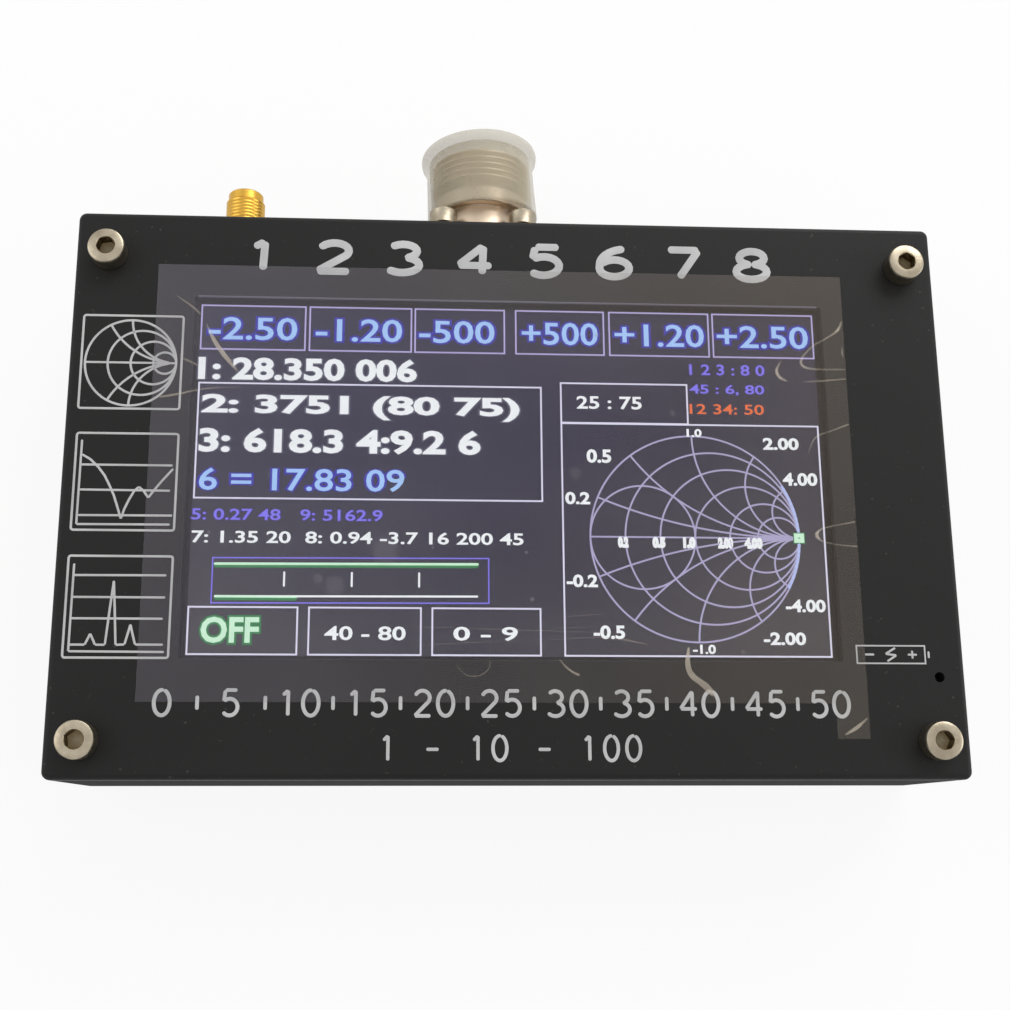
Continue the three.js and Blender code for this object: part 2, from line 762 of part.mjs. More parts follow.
// Chips hang under the board
function underBoard(chip) {
  return slab(chip.x, chip.y, chip.width, chip.height, boardBottomZ - chip.thickness, boardBottomZ);
}
addPiece('processor_chip', underBoard(processor), finish.chip);
addPiece('memory_chip', underBoard(memory), finish.chip);
addPiece('synthesizer_chip', underBoard(synthesizer), finish.chip);
addPiece(
  'crystal',
  extrudeZ(
    roundedRectangle(crystal.width, crystal.height, crystal.height / 2 - fitGap),
    boardBottomZ - crystal.thickness, boardBottomZ, cornerSteps,
  ).translate([crystal.x, crystal.y, 0]),
  finish.tinPlate,
);

function radioShield() {
  const width = shield.width - shield.sheet * 2;
  const height = shield.height - shield.sheet * 2;
  const lowZ = boardBottomZ - shield.thickness + shield.sheet;
  const hollow = slab(shield.x, shield.y, width, height, lowZ, boardBottomZ + cutOverrun);
  return cut(underBoard(shield), hollow);
}
addPiece('radio_shield', radioShield(), finish.tinPlate);

// Memory card and its steel socket, open towards the left wall
const cardOuterX = -halfWidth - cardProud;
const cardInnerX = cardOuterX + cardLength;

function cardSocketShell() {
  const endX = cardInnerX + cardPush + looseGap + cardSocket.sheet;
  const startX = boardLeftX;
  const shell = box(
    [startX, cardY - cardSocket.width / 2, boardBottomZ - cardSocket.thickness],
    [endX, cardY + cardSocket.width / 2, boardBottomZ],
  );
  const hollow = box(
    [startX - cutOverrun, cardY - cardWidth / 2 - looseGap, cardZ - cardThickness / 2 - fitGap],
    [endX - cardSocket.sheet, cardY + cardWidth / 2 + looseGap, cardZ + cardThickness / 2 + fitGap],
  );
  return cut(shell, hollow);
}
addPiece('card_socket', cardSocketShell(), finish.tinPlate);

function memoryCard() {
  const half = cardWidth / 2;
  const shape = new THREE.Shape();
  shape.moveTo(cardOuterX, cardY - half);
  shape.lineTo(cardInnerX, cardY - half);
  shape.lineTo(cardInnerX, cardY + half - cardCorner);
  shape.lineTo(cardInnerX - cardCorner, cardY + half);
  shape.lineTo(cardOuterX, cardY + half);
  return extrudeZ(shape, cardZ - cardThickness / 2, cardZ + cardThickness / 2, cornerSteps);
}
addPiece('memory_card', memoryCard(), finish.chip);

// A micro socket with its mouth at x = 0 facing +X, its body behind it
function microPort() {
  const outer = extrudeX(portOutline(0), -port.length, 0);
  const inner = extrudeX(portOutline(-port.sheet), port.sheet - port.length, cutOverrun);
  const tongue = box(
    [-port.length, -port.tongueWidth / 2, -port.tongueThickness / 2],
    [-port.tongueSetback, port.tongueWidth / 2, port.tongueThickness / 2],
  );
  return joined(cut(outer, inner), tongue);
}
const portMouthX = innerX - fitGap;
addPiece(
  'data_port',
  microPort().rotate([0, 0, 180]).translate([-portMouthX, dataPortY, dataPortZ]),
  finish.tinPlate,
);

// Large socket, turned about +Y, with its square flange against the end wall
const neckEnd = flangeThickness + neckLength;
const collarEnd = neckEnd + collarLength;
const reliefEnd = collarEnd + reliefLength;
const threadEnd = reliefEnd + threadPitch * threadTurns;

function largeSocketBody() {
  const ridges = [];
  for (let turn = 0; turn < threadTurns; turn += 1) {
    const start = reliefEnd + threadPitch * turn;
    ridges.push([threadRadius - threadDepth, start]);
    ridges.push([threadRadius, start + threadPitch / 2]);
  }
  const profile = [
    [0, -largeRearLength],
    [largeRearRadius, -largeRearLength],
    [largeRearRadius, flangeThickness / 2],
    [neckRadius, flangeThickness / 2],
    [neckRadius, neckEnd],
    [collarRadius, neckEnd],
    [collarRadius, collarEnd],
    [reliefRadius, collarEnd],
    [reliefRadius, reliefEnd],
    ...ridges,
    [threadRadius - threadDepth, threadEnd],
    [0, threadEnd],
  ];
  const bore = turned([
    [0, -largeRearLength - cutOverrun],
    [mouthRadius, -largeRearLength - cutOverrun],
    [mouthRadius, threadEnd - mouthChamfer],
    [mouthRadius + mouthChamfer, threadEnd],
    [mouthRadius + mouthChamfer, threadEnd + cutOverrun],
    [0, threadEnd + cutOverrun],
  ], socketSides);
  const half = flangeSize / 2;
  const flange = box([-half, 0, -half], [half, flangeThickness, half]);
  const holeRadius = flangeScrew.shankRadius + fitGap;
  const holeEnd = flangeThickness + cutOverrun;
  const holes = flangeScrewPlaces().map(({ x, z }) => (
    cylinderY(holeRadius, x - largeSocketX, z - socketAxisZ, -cutOverrun, holeEnd, holeSides)
  ));
  return cut(joined(turned(profile, socketSides), cut(flange, ...holes)), bore);
}

const largeInsulatorEnd = threadEnd - mouthDepth;
const largeInsulator = turned([
  [largeContactRadius + fitGap, -largeRearLength],
  [mouthRadius - fitGap, -largeRearLength],
  [mouthRadius - fitGap, largeInsulatorEnd],
  [largeContactRadius + fitGap, largeInsulatorEnd],
  [largeContactRadius + fitGap, -largeRearLength],
], socketSides);

const largeContactEnd = threadEnd - largeContactSetback;
const largeContact = turned([
  [0, -largeRearLength - largeContactTail],
  [largeContactRadius, -largeRearLength - largeContactTail],
  [largeContactRadius, largeContactEnd],
  [largeContactBore, largeContactEnd],
  [largeContactBore, largeContactEnd - largeContactBoreDepth],
  [0, largeContactEnd - largeContactBoreDepth],
], holeSides);

function atLargeSocket(solid) {
  return solid.translate([largeSocketX, endFaceY, socketAxisZ]);
}
addPiece('large_socket_body', atLargeSocket(largeSocketBody()), finish.nickel);
addPiece('large_socket_insulator', atLargeSocket(largeInsulator), finish.insulator);
addPiece('large_socket_contact', atLargeSocket(largeContact), finish.gold);

flangeScrewPlaces().forEach(({ x, z }, i) => {
  const screw = capScrew(flangeScrew).rotate([-90, 0, 0]).translate([x, endFaceY + flangeThickness, z]);
  addPiece(`flange_screw_${i + 1}`, screw, finish.steel);
});

// Dust cap: a soft cup with a thick lip round its closed end, pushed on a little askew
const capRimY = flangeThickness + flangeScrew.headHeight + capScrewGap;
const capLength = threadEnd + capEndGap + capEndThickness - capRimY;

function dustCap() {
  const innerRadius = threadRadius + capThreadGap;
  const rimRadius = innerRadius + capWall.rim;
  const waistRadius = innerRadius + capWall.waist;
  const lipRadius = innerRadius + capWall.lip;
  const lipStart = capLength - capLipLength;
  const lipRound = capLipLength / 4;
  const innerEnd = capLength - capEndThickness;
  return turned([
    [innerRadius, 0],
    [rimRadius, 0],
    [waistRadius, lipStart - lipRound],
    [lipRadius - lipRound / 2, lipStart],
    [lipRadius, lipStart + lipRound],
    [lipRadius, capLength - lipRound * 1.5],
    [lipRadius - lipRound / 2, capLength - lipRound / 2],
    [lipRadius - lipRound * 1.5, capLength],
    [0, capLength],
    [0, innerEnd],
    [innerRadius, innerEnd],
    [innerRadius, 0],
  ], socketSides);
}
const dustCapMesh = addPiece('dust_cap', dustCap().translate([0, -capLength / 2, 0]), finish.cap);
dustCapMesh.position.set(largeSocketX, endFaceY + capRimY + capLength / 2, socketAxisZ);
dustCapMesh.rotation.z = capTilt;

// Small socket: a threaded barrel put through the wall from inside, with a washer and nut outside
const smallRearEnd = -wall - smallHexThickness - smallRearLength;

function smallSocketBody() {
  const threadLow = -wall;
  const threadHigh = smallReach - smallTipLength;
  const turns = Math.floor((threadHigh - nutThickness - washerThickness) / smallThreadPitch);
  const ridgeStart = threadHigh - turns * smallThreadPitch;
  const ridges = [];
  for (let turn = 0; turn < turns; turn += 1) {
    const start = ridgeStart + smallThreadPitch * turn;
    ridges.push([smallThreadRadius - smallThreadDepth, start]);
    ridges.push([smallThreadRadius, start + smallThreadPitch / 2]);
  }
  const profile = [
    [0, smallRearEnd],
    [smallRearRadius, smallRearEnd],
    [smallRearRadius, threadLow - smallHexThickness / 2],
    [smallThreadRadius, threadLow - smallHexThickness / 2],
    [smallThreadRadius, ridgeStart - smallThreadPitch / 2],
    ...ridges,
    [smallThreadRadius - smallThreadDepth, threadHigh],
    [smallTipRadius, threadHigh],
    [smallTipRadius, smallReach],
    [0, smallReach],
  ];
  const hex = cylinderY(hexRadius(nutAcross), 0, 0, threadLow - smallHexThickness, threadLow, 6);
  const boreEnd = smallReach + cutOverrun;
  const bore = cylinderY(smallBoreRadius, 0, 0, smallRearEnd - cutOverrun, boreEnd, smallSides);
  return cut(joined(turned(profile, smallSides), hex), bore);
}

const smallInsulator = turned([
  [smallContactRadius + fitGap, smallRearEnd],
  [smallBoreRadius - fitGap, smallRearEnd],
  [smallBoreRadius - fitGap, smallReach - smallInsulatorSetback],
  [smallContactRadius + fitGap, smallReach - smallInsulatorSetback],
  [smallContactRadius + fitGap, smallRearEnd],
], smallSides);

function atSmallSocket(solid) {
  return solid.translate([smallSocketX, endFaceY, socketAxisZ]);
}

function ringY(outerRadius, innerRadius, lowY, highY, outerSides) {
  return cut(
    cylinderY(outerRadius, 0, 0, lowY, highY, outerSides),
    cylinderY(innerRadius, 0, 0, lowY - cutOverrun, highY + cutOverrun, smallSides),
  );
}
const nutHoleRadius = smallThreadRadius + fitGap;
const smallContact = cylinderY(
  smallContactRadius, 0, 0, smallRearEnd, smallReach - smallInsulatorSetback, holeSides,
);
addPiece('small_socket_body', atSmallSocket(smallSocketBody()), finish.gold);
addPiece('small_socket_insulator', atSmallSocket(smallInsulator), finish.insulator);
addPiece('small_socket_contact', atSmallSocket(smallContact), finish.gold);
addPiece(
  'small_socket_washer',
  atSmallSocket(ringY(washerRadius, nutHoleRadius, 0, washerThickness, smallSides)),
  finish.gold,
);
const nutEnd = washerThickness + nutThickness;
addPiece(
  'small_socket_nut',
  atSmallSocket(ringY(hexRadius(nutAcross), nutHoleRadius, washerThickness, nutEnd, 6)),
  finish.gold,
);

// A coax tail from a socket's rear, turned up to the underside of the main board
function coaxTail(x, startY) {
  const endZ = boardBottomZ - fitGap;
  const coaxBend = endZ - coaxRise - socketAxisZ;
  const bendY = startY - coaxRadius - coaxBend;
  const path = new THREE.CurvePath();
  path.add(new THREE.LineCurve3(
    new THREE.Vector3(x, startY, socketAxisZ),
    new THREE.Vector3(x, bendY + coaxBend, socketAxisZ),
  ));
  path.add(new THREE.QuadraticBezierCurve3(
    new THREE.Vector3(x, bendY + coaxBend, socketAxisZ),
    new THREE.Vector3(x, bendY, socketAxisZ),
    new THREE.Vector3(x, bendY, socketAxisZ + coaxBend),
  ));
  path.add(new THREE.LineCurve3(
    new THREE.Vector3(x, bendY, socketAxisZ + coaxBend),
    new THREE.Vector3(x, bendY, endZ),
  ));
  return tubeAlong(path, coaxRadius, coaxSides, coaxSteps);
}

function tubeAlong(path, radius, sides, steps) {
  const section = new THREE.Shape();
  section.absarc(0, 0, radius, 0, Math.PI * 2);
  return new THREE.ExtrudeGeometry(section, {
    extrudePath: path,
    steps,
    curveSegments: sides,
    bevelEnabled: false,
  });
}
addPiece(
  'large_socket_coax',
  coaxTail(largeSocketX, endFaceY - largeRearLength - largeContactTail - fitGap),
  finish.coax,
);
addPiece('small_socket_coax', coaxTail(smallSocketX, endFaceY + smallRearEnd - fitGap), finish.coax);

// Battery pouch held by tape on the floor
const batteryLowZ = floor + batteryTapeThickness;
const batteryWidth = innerX * 2 - batteryGap.left - batteryGap.right;
const batteryHeight = innerY * 2 - batteryGap.lower - batteryGap.upper;
const batteryX = (batteryGap.left - batteryGap.right) / 2;
const batteryY = (batteryGap.lower - batteryGap.upper) / 2;
const tapeWidth = batteryWidth - batteryTapeInset * 2;
const tapeHeight = batteryHeight - batteryTapeInset * 2;
addPiece('battery_tape', slab(batteryX, batteryY, tapeWidth, tapeHeight, floor, batteryLowZ), finish.tape);
addPiece(
  'battery',
  roundedBlock(batteryWidth, batteryHeight, batteryThickness, batteryEdge * 1.5, batteryEdge, edgeSteps)
    .translate([batteryX, batteryY, batteryLowZ]),
  finish.battery,
);

// Charging board, its screws, chip and the header up to the main board
const chargeLowZ = chargeTopZ - chargeBoard.thickness;

function chargingBoard() {
  const plate = box(
    [chargeLeftX, chargeLowerY, chargeLowZ],
    [chargeRightX, chargeUpperY, chargeTopZ],
  );
  const holes = chargeScrewPlaces.map(({ x, y }) => (
    screwHole(chargeScrew, x, y, chargeLowZ - cutOverrun, chargeTopZ + cutOverrun)
  ));
  return cut(plate, ...holes);
}
addPiece('charge_board', chargingBoard(), finish.boardGreen);
chargeScrewPlaces.forEach(({ x, y }, i) => {
  addPiece(`charge_screw_${i + 1}`, capScrew(chargeScrew).translate([x, y, chargeTopZ]), finish.steel);
});
addPiece(
  'charger_chip',
  slab(
    chargeLeftX + charger.fromLeft, chargeLowerY + charger.fromLower, charger.width, charger.height,
    chargeTopZ, chargeTopZ + charger.thickness,
  ),
  finish.chip,
);
addPiece(
  'board_header',
  slab(
    chargeLeftX + header.fromLeft, chargeUpperY - header.fromUpper, header.width, header.height,
    chargeTopZ, boardBottomZ,
  ),
  finish.chip,
);
addPiece('charge_port', microPort().translate([portMouthX, chargePortY, chargePortZ]), finish.tinPlate);

// Battery plug in its socket at the upper edge of the charging board
const batterySocketX = chargeLeftX + batterySocket.fromLeft;
const batterySocketZ = chargeTopZ + batterySocket.height / 2;

function batterySocketBody() {
  const { width, length, height, sheet, cavityDepth } = batterySocket;
  const lowX = batterySocketX - width / 2;
  const highX = batterySocketX + width / 2;
  const body = box(
    [lowX, chargeUpperY - length, chargeTopZ],
    [highX, chargeUpperY, chargeTopZ + height],
  );
  const cavity = box(
    [lowX + sheet, chargeUpperY - cavityDepth, chargeTopZ + sheet],
    [highX - sheet, chargeUpperY + cutOverrun, chargeTopZ + height - sheet],
  );
  return cut(body, cavity);
}
addPiece('battery_socket', batterySocketBody(), finish.connector);

const plugHalfWidth = batterySocket.width / 2 - batterySocket.sheet - batteryPlug.inset;
const plugHalfHeight = batterySocket.height / 2 - batterySocket.sheet - batteryPlug.inset;
const plugBackY = chargeUpperY - batteryPlug.insertion + batteryPlug.length;
addPiece(
  'battery_plug',
  box(
    [batterySocketX - plugHalfWidth, plugBackY - batteryPlug.length, batterySocketZ - plugHalfHeight],
    [batterySocketX + plugHalfWidth, plugBackY, batterySocketZ + plugHalfHeight],
  ),
  finish.connector,
);

// Two leads from the end of the battery up to its plug
function batteryLead(side) {
  const offset = side * leadSpacing / 2;
  const startX = batteryX + batteryWidth / 2 + fitGap;
  const leadY = batteryY + batteryHeight / 2 - leadInset;
  const startZ = batteryLowZ + batteryThickness / 2;
  const endY = plugBackY + fitGap;
  const path = new THREE.CubicBezierCurve3(
    new THREE.Vector3(startX, leadY + offset, startZ),
    new THREE.Vector3(startX + leadReach, leadY + offset, startZ),
    new THREE.Vector3(batterySocketX + offset, endY + leadReach, batterySocketZ),
    new THREE.Vector3(batterySocketX + offset, endY, batterySocketZ),
  );
  return tubeAlong(path, leadRadius, leadSides, leadSteps);
}
addPiece('battery_lead_red', batteryLead(1), finish.red);
addPiece('battery_lead_black', batteryLead(-1), finish.black);

// Charging lamp on two legs, right behind its hole
function chargingLamp() {
  const top = seamZ - ledDrop;
  const base = top - ledBodyLength;
  const dome = [];
  for (let step = 0; step <= domeSteps; step += 1) {
    const angle = (step / domeSteps) * Math.PI / 2;
    dome.push([ledRadius * Math.cos(angle), top - ledRadius + ledRadius * Math.sin(angle)]);
  }
  dome[domeSteps][0] = 0;
  const lens = turned([[0, base], [ledRadius, base], ...dome], holeSides).rotate([90, 0, 0]);
  const rim = cylinderZ(ledRadius, ledX, ledY, base, base + ledFlangeHeight, holeSides);
  const legTop = base + ledFlangeHeight / 2;
  const legs = [-1, 1].map((side) => (
    slab(ledX, ledY + side * ledLegSpacing / 2, ledLegSize, ledLegSize, chargeTopZ, legTop)
  ));
  return joined(lens.translate([ledX, ledY, 0]), rim, ...legs);
}
addPiece('charging_lamp', chargingLamp(), finish.lamp);

// Power switch: a steel-cased slide switch and its lever through the right wall
const switchFaceX = innerX - looseGap;

function switchCase() {
  const body = box(
    [switchFaceX - switchBody.depth, switchY - switchBody.length / 2, chargeTopZ],
    [switchFaceX, switchY + switchBody.length / 2, chargeTopZ + switchBody.height],
  );
  const halfSlot = (leverWidth + leverTravel) / 2 + looseGap;
  const slot = box(
    [switchFaceX - leverRoot - looseGap, switchY - halfSlot, switchZ - leverHeight / 2 - fitGap],
    [switchFaceX + cutOverrun, switchY + halfSlot, switchZ + leverHeight / 2 + fitGap],
  );
  return cut(body, slot);
}
addPiece('switch_body', switchCase(), finish.tinPlate);
addPiece(
  'switch_lever',
  box(
    [switchFaceX - leverRoot, leverRestY - leverWidth / 2, switchZ - leverHeight / 2],
    [halfWidth + leverProud, leverRestY + leverWidth / 2, switchZ + leverHeight / 2],
  ),
  finish.black,
);

export default analyzer;
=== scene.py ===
"""Hand-held antenna analyzer lying on its back: a black metal case with a lit touch screen, two
antenna sockets in its upper end wall, and a clear protective film still on its face."""

import math

import bpy
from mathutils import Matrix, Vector


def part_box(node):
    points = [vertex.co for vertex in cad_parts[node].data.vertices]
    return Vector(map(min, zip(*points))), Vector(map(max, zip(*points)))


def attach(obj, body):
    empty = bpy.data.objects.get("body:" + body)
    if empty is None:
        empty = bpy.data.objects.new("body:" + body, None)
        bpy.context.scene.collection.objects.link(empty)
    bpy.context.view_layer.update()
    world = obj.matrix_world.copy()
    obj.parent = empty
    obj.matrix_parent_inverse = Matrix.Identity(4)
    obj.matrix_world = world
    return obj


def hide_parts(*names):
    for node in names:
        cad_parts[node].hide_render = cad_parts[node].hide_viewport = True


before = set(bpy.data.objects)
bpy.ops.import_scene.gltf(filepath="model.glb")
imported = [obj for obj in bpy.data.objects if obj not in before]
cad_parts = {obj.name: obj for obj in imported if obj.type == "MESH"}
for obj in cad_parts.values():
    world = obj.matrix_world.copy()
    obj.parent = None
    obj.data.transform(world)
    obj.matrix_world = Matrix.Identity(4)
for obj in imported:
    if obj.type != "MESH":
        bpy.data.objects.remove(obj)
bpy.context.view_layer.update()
mm = 0.001

# Camera
# The photograph was taken by hand from above the lower edge, a little left of the middle, and cut
# to its square off centre. Place, turn, lens and shift were solved from the front's corners, the
# screws and the lit picture.
camera_data = bpy.data.cameras.new("camera")
camera_data.sensor_width = 36
camera_data.lens = 46.255
camera_data.shift_x = 0.0268
camera_data.shift_y = 0.0359
camera = bpy.data.objects.new("camera", camera_data)
bpy.context.scene.collection.objects.link(camera)
camera.location = (-15.08 * mm, -50 * mm, 212.41 * mm)
camera.rotation_mode = "ZYX"
camera.rotation_euler = (math.radians(12.585), math.radians(-2.944), math.radians(0.512))
bpy.context.scene.camera = camera
bpy.context.scene.view_settings.view_transform = "Standard"

# Studio
# A plain pale floor and soft light all round: a wide key behind the top, a small lamp that glints
# on the sockets, a low one at the right and a weak fill at the left. The camera sees white.
studio_white = (0.9, 0.9, 0.9, 1)
light_strength = 0.5
floor_share = 0.9


def set_socket(socket, value):
    """Gives a node's socket a plain value or another node's output."""
    if isinstance(value, bpy.types.NodeSocket):
        socket.id_data.links.new(value, socket)
    else:
        socket.default_value = value


def feed(node, **values):
    """Sets a node's inputs by their names."""
    for name, value in values.items():
        set_socket(node.inputs[name.replace("_", " ")], value)
    return node


def add_node(tree, kind, **values):
    return feed(tree.nodes.new(kind), **values)


def math_node(operation, first, second=0.0):
    """One step of arithmetic on two values, of which one at least is another node's output."""
    tree = (first if isinstance(first, bpy.types.NodeSocket) else second).id_data
    node = tree.nodes.new("ShaderNodeMath")
    node.operation = operation
    set_socket(node.inputs[0], first)
    set_socket(node.inputs[1], second)
    return node.outputs[0]


def surface(name, **plain):
    """A material with a Principled shader. Its plain sockets are set here."""
    material = bpy.data.materials.new(name)
    material.use_nodes = True
    shader = material.node_tree.nodes["Principled BSDF"]
    return material, material.node_tree, feed(shader, **plain)


def background_share(tree):
    """1 where a ray comes from the camera, a mirror or glass, and 0 for light on the object."""
    rays = tree.nodes.new("ShaderNodeLightPath").outputs
    seen = math_node("MAXIMUM", rays["Is Camera Ray"], rays["Is Glossy Ray"])
    return math_node("MAXIMUM", seen, rays["Is Transmission Ray"])


world = bpy.data.worlds.new("studio")
bpy.context.scene.world = world
world.use_nodes = True
world_tree = world.node_tree
world_tree.nodes.clear()
world_strength = add_node(
    world_tree, "ShaderNodeMix", Factor=background_share(world_tree), A=light_strength, B=1.0
).outputs["Result"]
world_background = add_node(
    world_tree, "ShaderNodeBackground", Color=(1, 1, 1, 1), Strength=world_strength
)
add_node(world_tree, "ShaderNodeOutputWorld", Surface=world_background.outputs[0])

bpy.ops.mesh.primitive_plane_add(size=6, location=(0, 0, -0.2 * mm))
floor = bpy.context.active_object
floor.name = "studio_floor"
floor_material, floor_tree, floor_shader = surface(
    "studio_floor", Base_Color=studio_white, Roughness=0.9
)
floor_glow = add_node(floor_tree, "ShaderNodeEmission", Color=(1, 1, 1, 1), Strength=1.0)
floor_mix = floor_tree.nodes.new("ShaderNodeMixShader")
set_socket(floor_mix.inputs[0], math_node("MULTIPLY", background_share(floor_tree), floor_share))
set_socket(floor_mix.inputs[1], floor_shader.outputs[0])
set_socket(floor_mix.inputs[2], floor_glow.outputs[0])
feed(floor_tree.nodes["Material Output"], Surface=floor_mix.outputs[0])
floor.data.materials.append(floor_material)


def soft_lamp(name, width, watts, place):
    """A square soft box that points at the object."""
    data = bpy.data.lights.new(name, "AREA")
    data.shape = "SQUARE"
    data.size = width
    data.energy = watts
    lamp = bpy.data.objects.new(name, data)
    bpy.context.scene.collection.objects.link(lamp)
    lamp.location = place
    lamp.rotation_euler = (-Vector(place)).to_track_quat("-Z", "Y").to_euler()


soft_lamp("key_lamp", 0.75, 6.8, (0.38, 0.92, 0.72))
soft_lamp("glint_lamp", 0.3, 1.1, (0.75, 0.62, 0.75))
soft_lamp("side_lamp", 0.5, 2.4, (1.0, -0.05, 0.4))
soft_lamp("fill_lamp", 0.6, 1.4, (-0.72, 0.1, 0.6))

# Tray (rear case)
# The deep half of the case: a tray milled from aluminium and painted satin black, with corner
# posts that the front screws go into and openings for the ports, the card and the switch.
case_width = 133 * mm
case_height = 86 * mm
seam_z = 23 * mm
corner_radius = 1.2 * mm
edge_radius = 0.9 * mm
wall = 2 * mm
post_radius = 3.2 * mm
post_hole_low = 15.5 * mm
post_hole_high = 30 * mm
pad_half = 10.5 * mm
pad_depth = 2 * mm
charge_bosses = ((46 * mm, -30 * mm), (56.5 * mm, -12.5 * mm))
charge_boss_radius = 2.4 * mm
charge_boss_top = 12.4 * mm
charge_hole_radius = 1.15 * mm
charge_hole_low = 8.45 * mm
charge_hole_high = 14 * mm
large_bore = 5.2 * mm
small_bore = 3.475 * mm
flange_hole = 1.4 * mm
round_sides = 48
overrun = 1 * mm
seam_break = 0.12 * mm
half_width = case_width / 2
half_height = case_height / 2


def add_box(low, high):
    """A box between two corners, as the active object."""
    bpy.ops.object.select_all(action="DESELECT")
    middle = [(a + b) / 2 for a, b in zip(low, high)]
    bpy.ops.mesh.primitive_cube_add(size=1, location=middle)
    box = bpy.context.active_object
    box.scale = [b - a for a, b in zip(low, high)]
    bpy.ops.object.transform_apply()
    return box


def add_rod(radius, start, end, sides=round_sides):
    """A cylinder from one point to another along an axis, as the active object."""
    bpy.ops.object.select_all(action="DESELECT")
    start, end = Vector(start), Vector(end)
    along = end - start
    bpy.ops.mesh.primitive_cylinder_add(
        radius=radius, depth=along.length, vertices=sides, location=(start + end) / 2
    )
    rod = bpy.context.active_object
    rod.rotation_euler = along.to_track_quat("Z", "Y").to_euler()
    bpy.ops.object.transform_apply()
    return rod


def upright_rod(radius, x, y, low_z, high_z, sides=round_sides):
    return add_rod(radius, (x, y, low_z), (x, y, high_z), sides)


def level_rod(radius, x, z, low_y, high_y, sides=round_sides):
    return add_rod(radius, (x, low_y, z), (x, high_y, z), sides)


def make_active(piece):
    bpy.ops.object.select_all(action="DESELECT")
    bpy.context.view_layer.objects.active = piece
    piece.select_set(True)


def pick(piece, kind, chosen):
    """Opens a piece for editing with only those points, edges or faces selected that a test picks."""
    make_active(piece)
    bpy.ops.object.mode_set(mode="EDIT")
    bpy.ops.mesh.select_mode(type=kind)
    bpy.ops.mesh.select_all(action="DESELECT")
    bpy.ops.object.mode_set(mode="OBJECT")
    elements = {"VERT": piece.data.vertices, "EDGE": piece.data.edges, "FACE": piece.data.polygons}
    for element in elements[kind]:
        element.select = bool(chosen(element))
    bpy.ops.object.mode_set(mode="EDIT")


def combine(piece, tool, operation):
    """Joins or cuts a piece with a tool by a boolean, and deletes the tool."""
    make_active(piece)
    modifier = piece.modifiers.new("combine", "BOOLEAN")
    modifier.operation = operation
    modifier.object = tool
    modifier.solver = "EXACT"
    bpy.ops.object.modifier_apply(modifier="combine")
    bpy.data.objects.remove(tool)


def cut(piece, *tools):
    for tool in tools:
        combine(piece, tool, "DIFFERENCE")


def join(piece, *tools):
    for tool in tools:
        combine(piece, tool, "UNION")


def bevel_edges(piece, chosen, width, segments):
    """Rounds the edges whose two end points the test picks."""
    pick(piece, "EDGE", lambda edge: chosen(*(piece.data.vertices[i].co for i in edge.vertices)))
    bpy.ops.mesh.bevel(offset=width, segments=segments, affect="EDGES", clamp_overlap=True)
    bpy.ops.object.mode_set(mode="OBJECT")


def close_to(value, target, slack=0.02 * mm):
    return abs(value - target) < slack


def every_edge(first, second):
    return True


def upright(first, second):
    """True for an edge that runs along Z."""
    return close_to(first.x, second.x) and close_to(first.y, second.y)


def level_at(height):
    """A test for edges that lie at one height."""
    return lambda first, second: close_to(first.z, height) and close_to(second.z, height)


def smooth(piece):
    """Smooth shading that leaves large flat faces flat up to their rounded edges."""
    make_active(piece)
    bpy.ops.object.shade_smooth_by_angle(angle=math.radians(30))
    piece.modifiers.new("normals", "WEIGHTED_NORMAL").keep_sharp = True
    bpy.ops.object.modifier_apply(modifier="normals")


def hand_in(piece, name, material, slot=None, *nodes, body="case"):
    """Names a finished piece, dresses and smooths it, ties it to its body and hides the nodes it replaces."""
    piece.name = name
    piece.data.name = name
    piece.data.materials.clear()
    piece.data.materials.append(material)
    smooth(piece)
    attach(piece, body)
    if nodes:
        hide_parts(*nodes)
    return piece


def case_half(low_z, high_z, face_z, chosen):
    """The outer block of a half of the case: the chosen edges are rounded, and then its face's."""
    block = add_box((-half_width, -half_height, low_z), (half_width, half_height, high_z))
    bevel_edges(block, chosen, corner_radius, 8)
    bevel_edges(block, level_at(face_z), edge_radius, 6)
    return block


# Each shader effect is a node group, built once
def new_group(name, inputs, outputs):
    """A shader node group with named float sockets. Returns its tree and its two end nodes."""
    group = bpy.data.node_groups.new(name, "ShaderNodeTree")
    for label, value in inputs.items():
        socket = group.interface.new_socket(name=label, in_out="INPUT", socket_type="NodeSocketFloat")
        socket.default_value = value
    for label in outputs:
        group.interface.new_socket(name=label, in_out="OUTPUT", socket_type="NodeSocketFloat")
    return group, group.nodes.new("NodeGroupInput"), group.nodes.new("NodeGroupOutput")


def place_group(tree, group, **values):
    node = tree.nodes.new("ShaderNodeGroup")
    node.node_tree = group
    return feed(node, **values).outputs


def object_place(tree):
    return tree.nodes.new("ShaderNodeTexCoord").outputs["Object"]


def object_axes(tree):
    """The three distances of a point on a piece from the origin."""
    return add_node(tree, "ShaderNodeSeparateXYZ", Vector=object_place(tree)).outputs


def noise(tree, place, scale, detail):
    return add_node(tree, "ShaderNodeTexNoise", Vector=place, Scale=scale, Detail=detail).outputs["Fac"]


# Fine grain: paint or blasted metal, as a height and as broad cloudy patches
grain_group, grain_in, grain_out = new_group(
    "fine_grain", {"Grain Scale": 3000.0, "Patch Scale": 40.0}, ("Grain", "Patches")
)
grain_place = object_place(grain_group)
feed(
    grain_out,
    Grain=noise(grain_group, grain_place, grain_in.outputs["Grain Scale"], 3.0),
    Patches=noise(grain_group, grain_place, grain_in.outputs["Patch Scale"], 4.0),
)


def fine_grain(tree, grain_scale, patch_scale):
    return place_group(tree, grain_group, Grain_Scale=grain_scale, Patch_Scale=patch_scale)


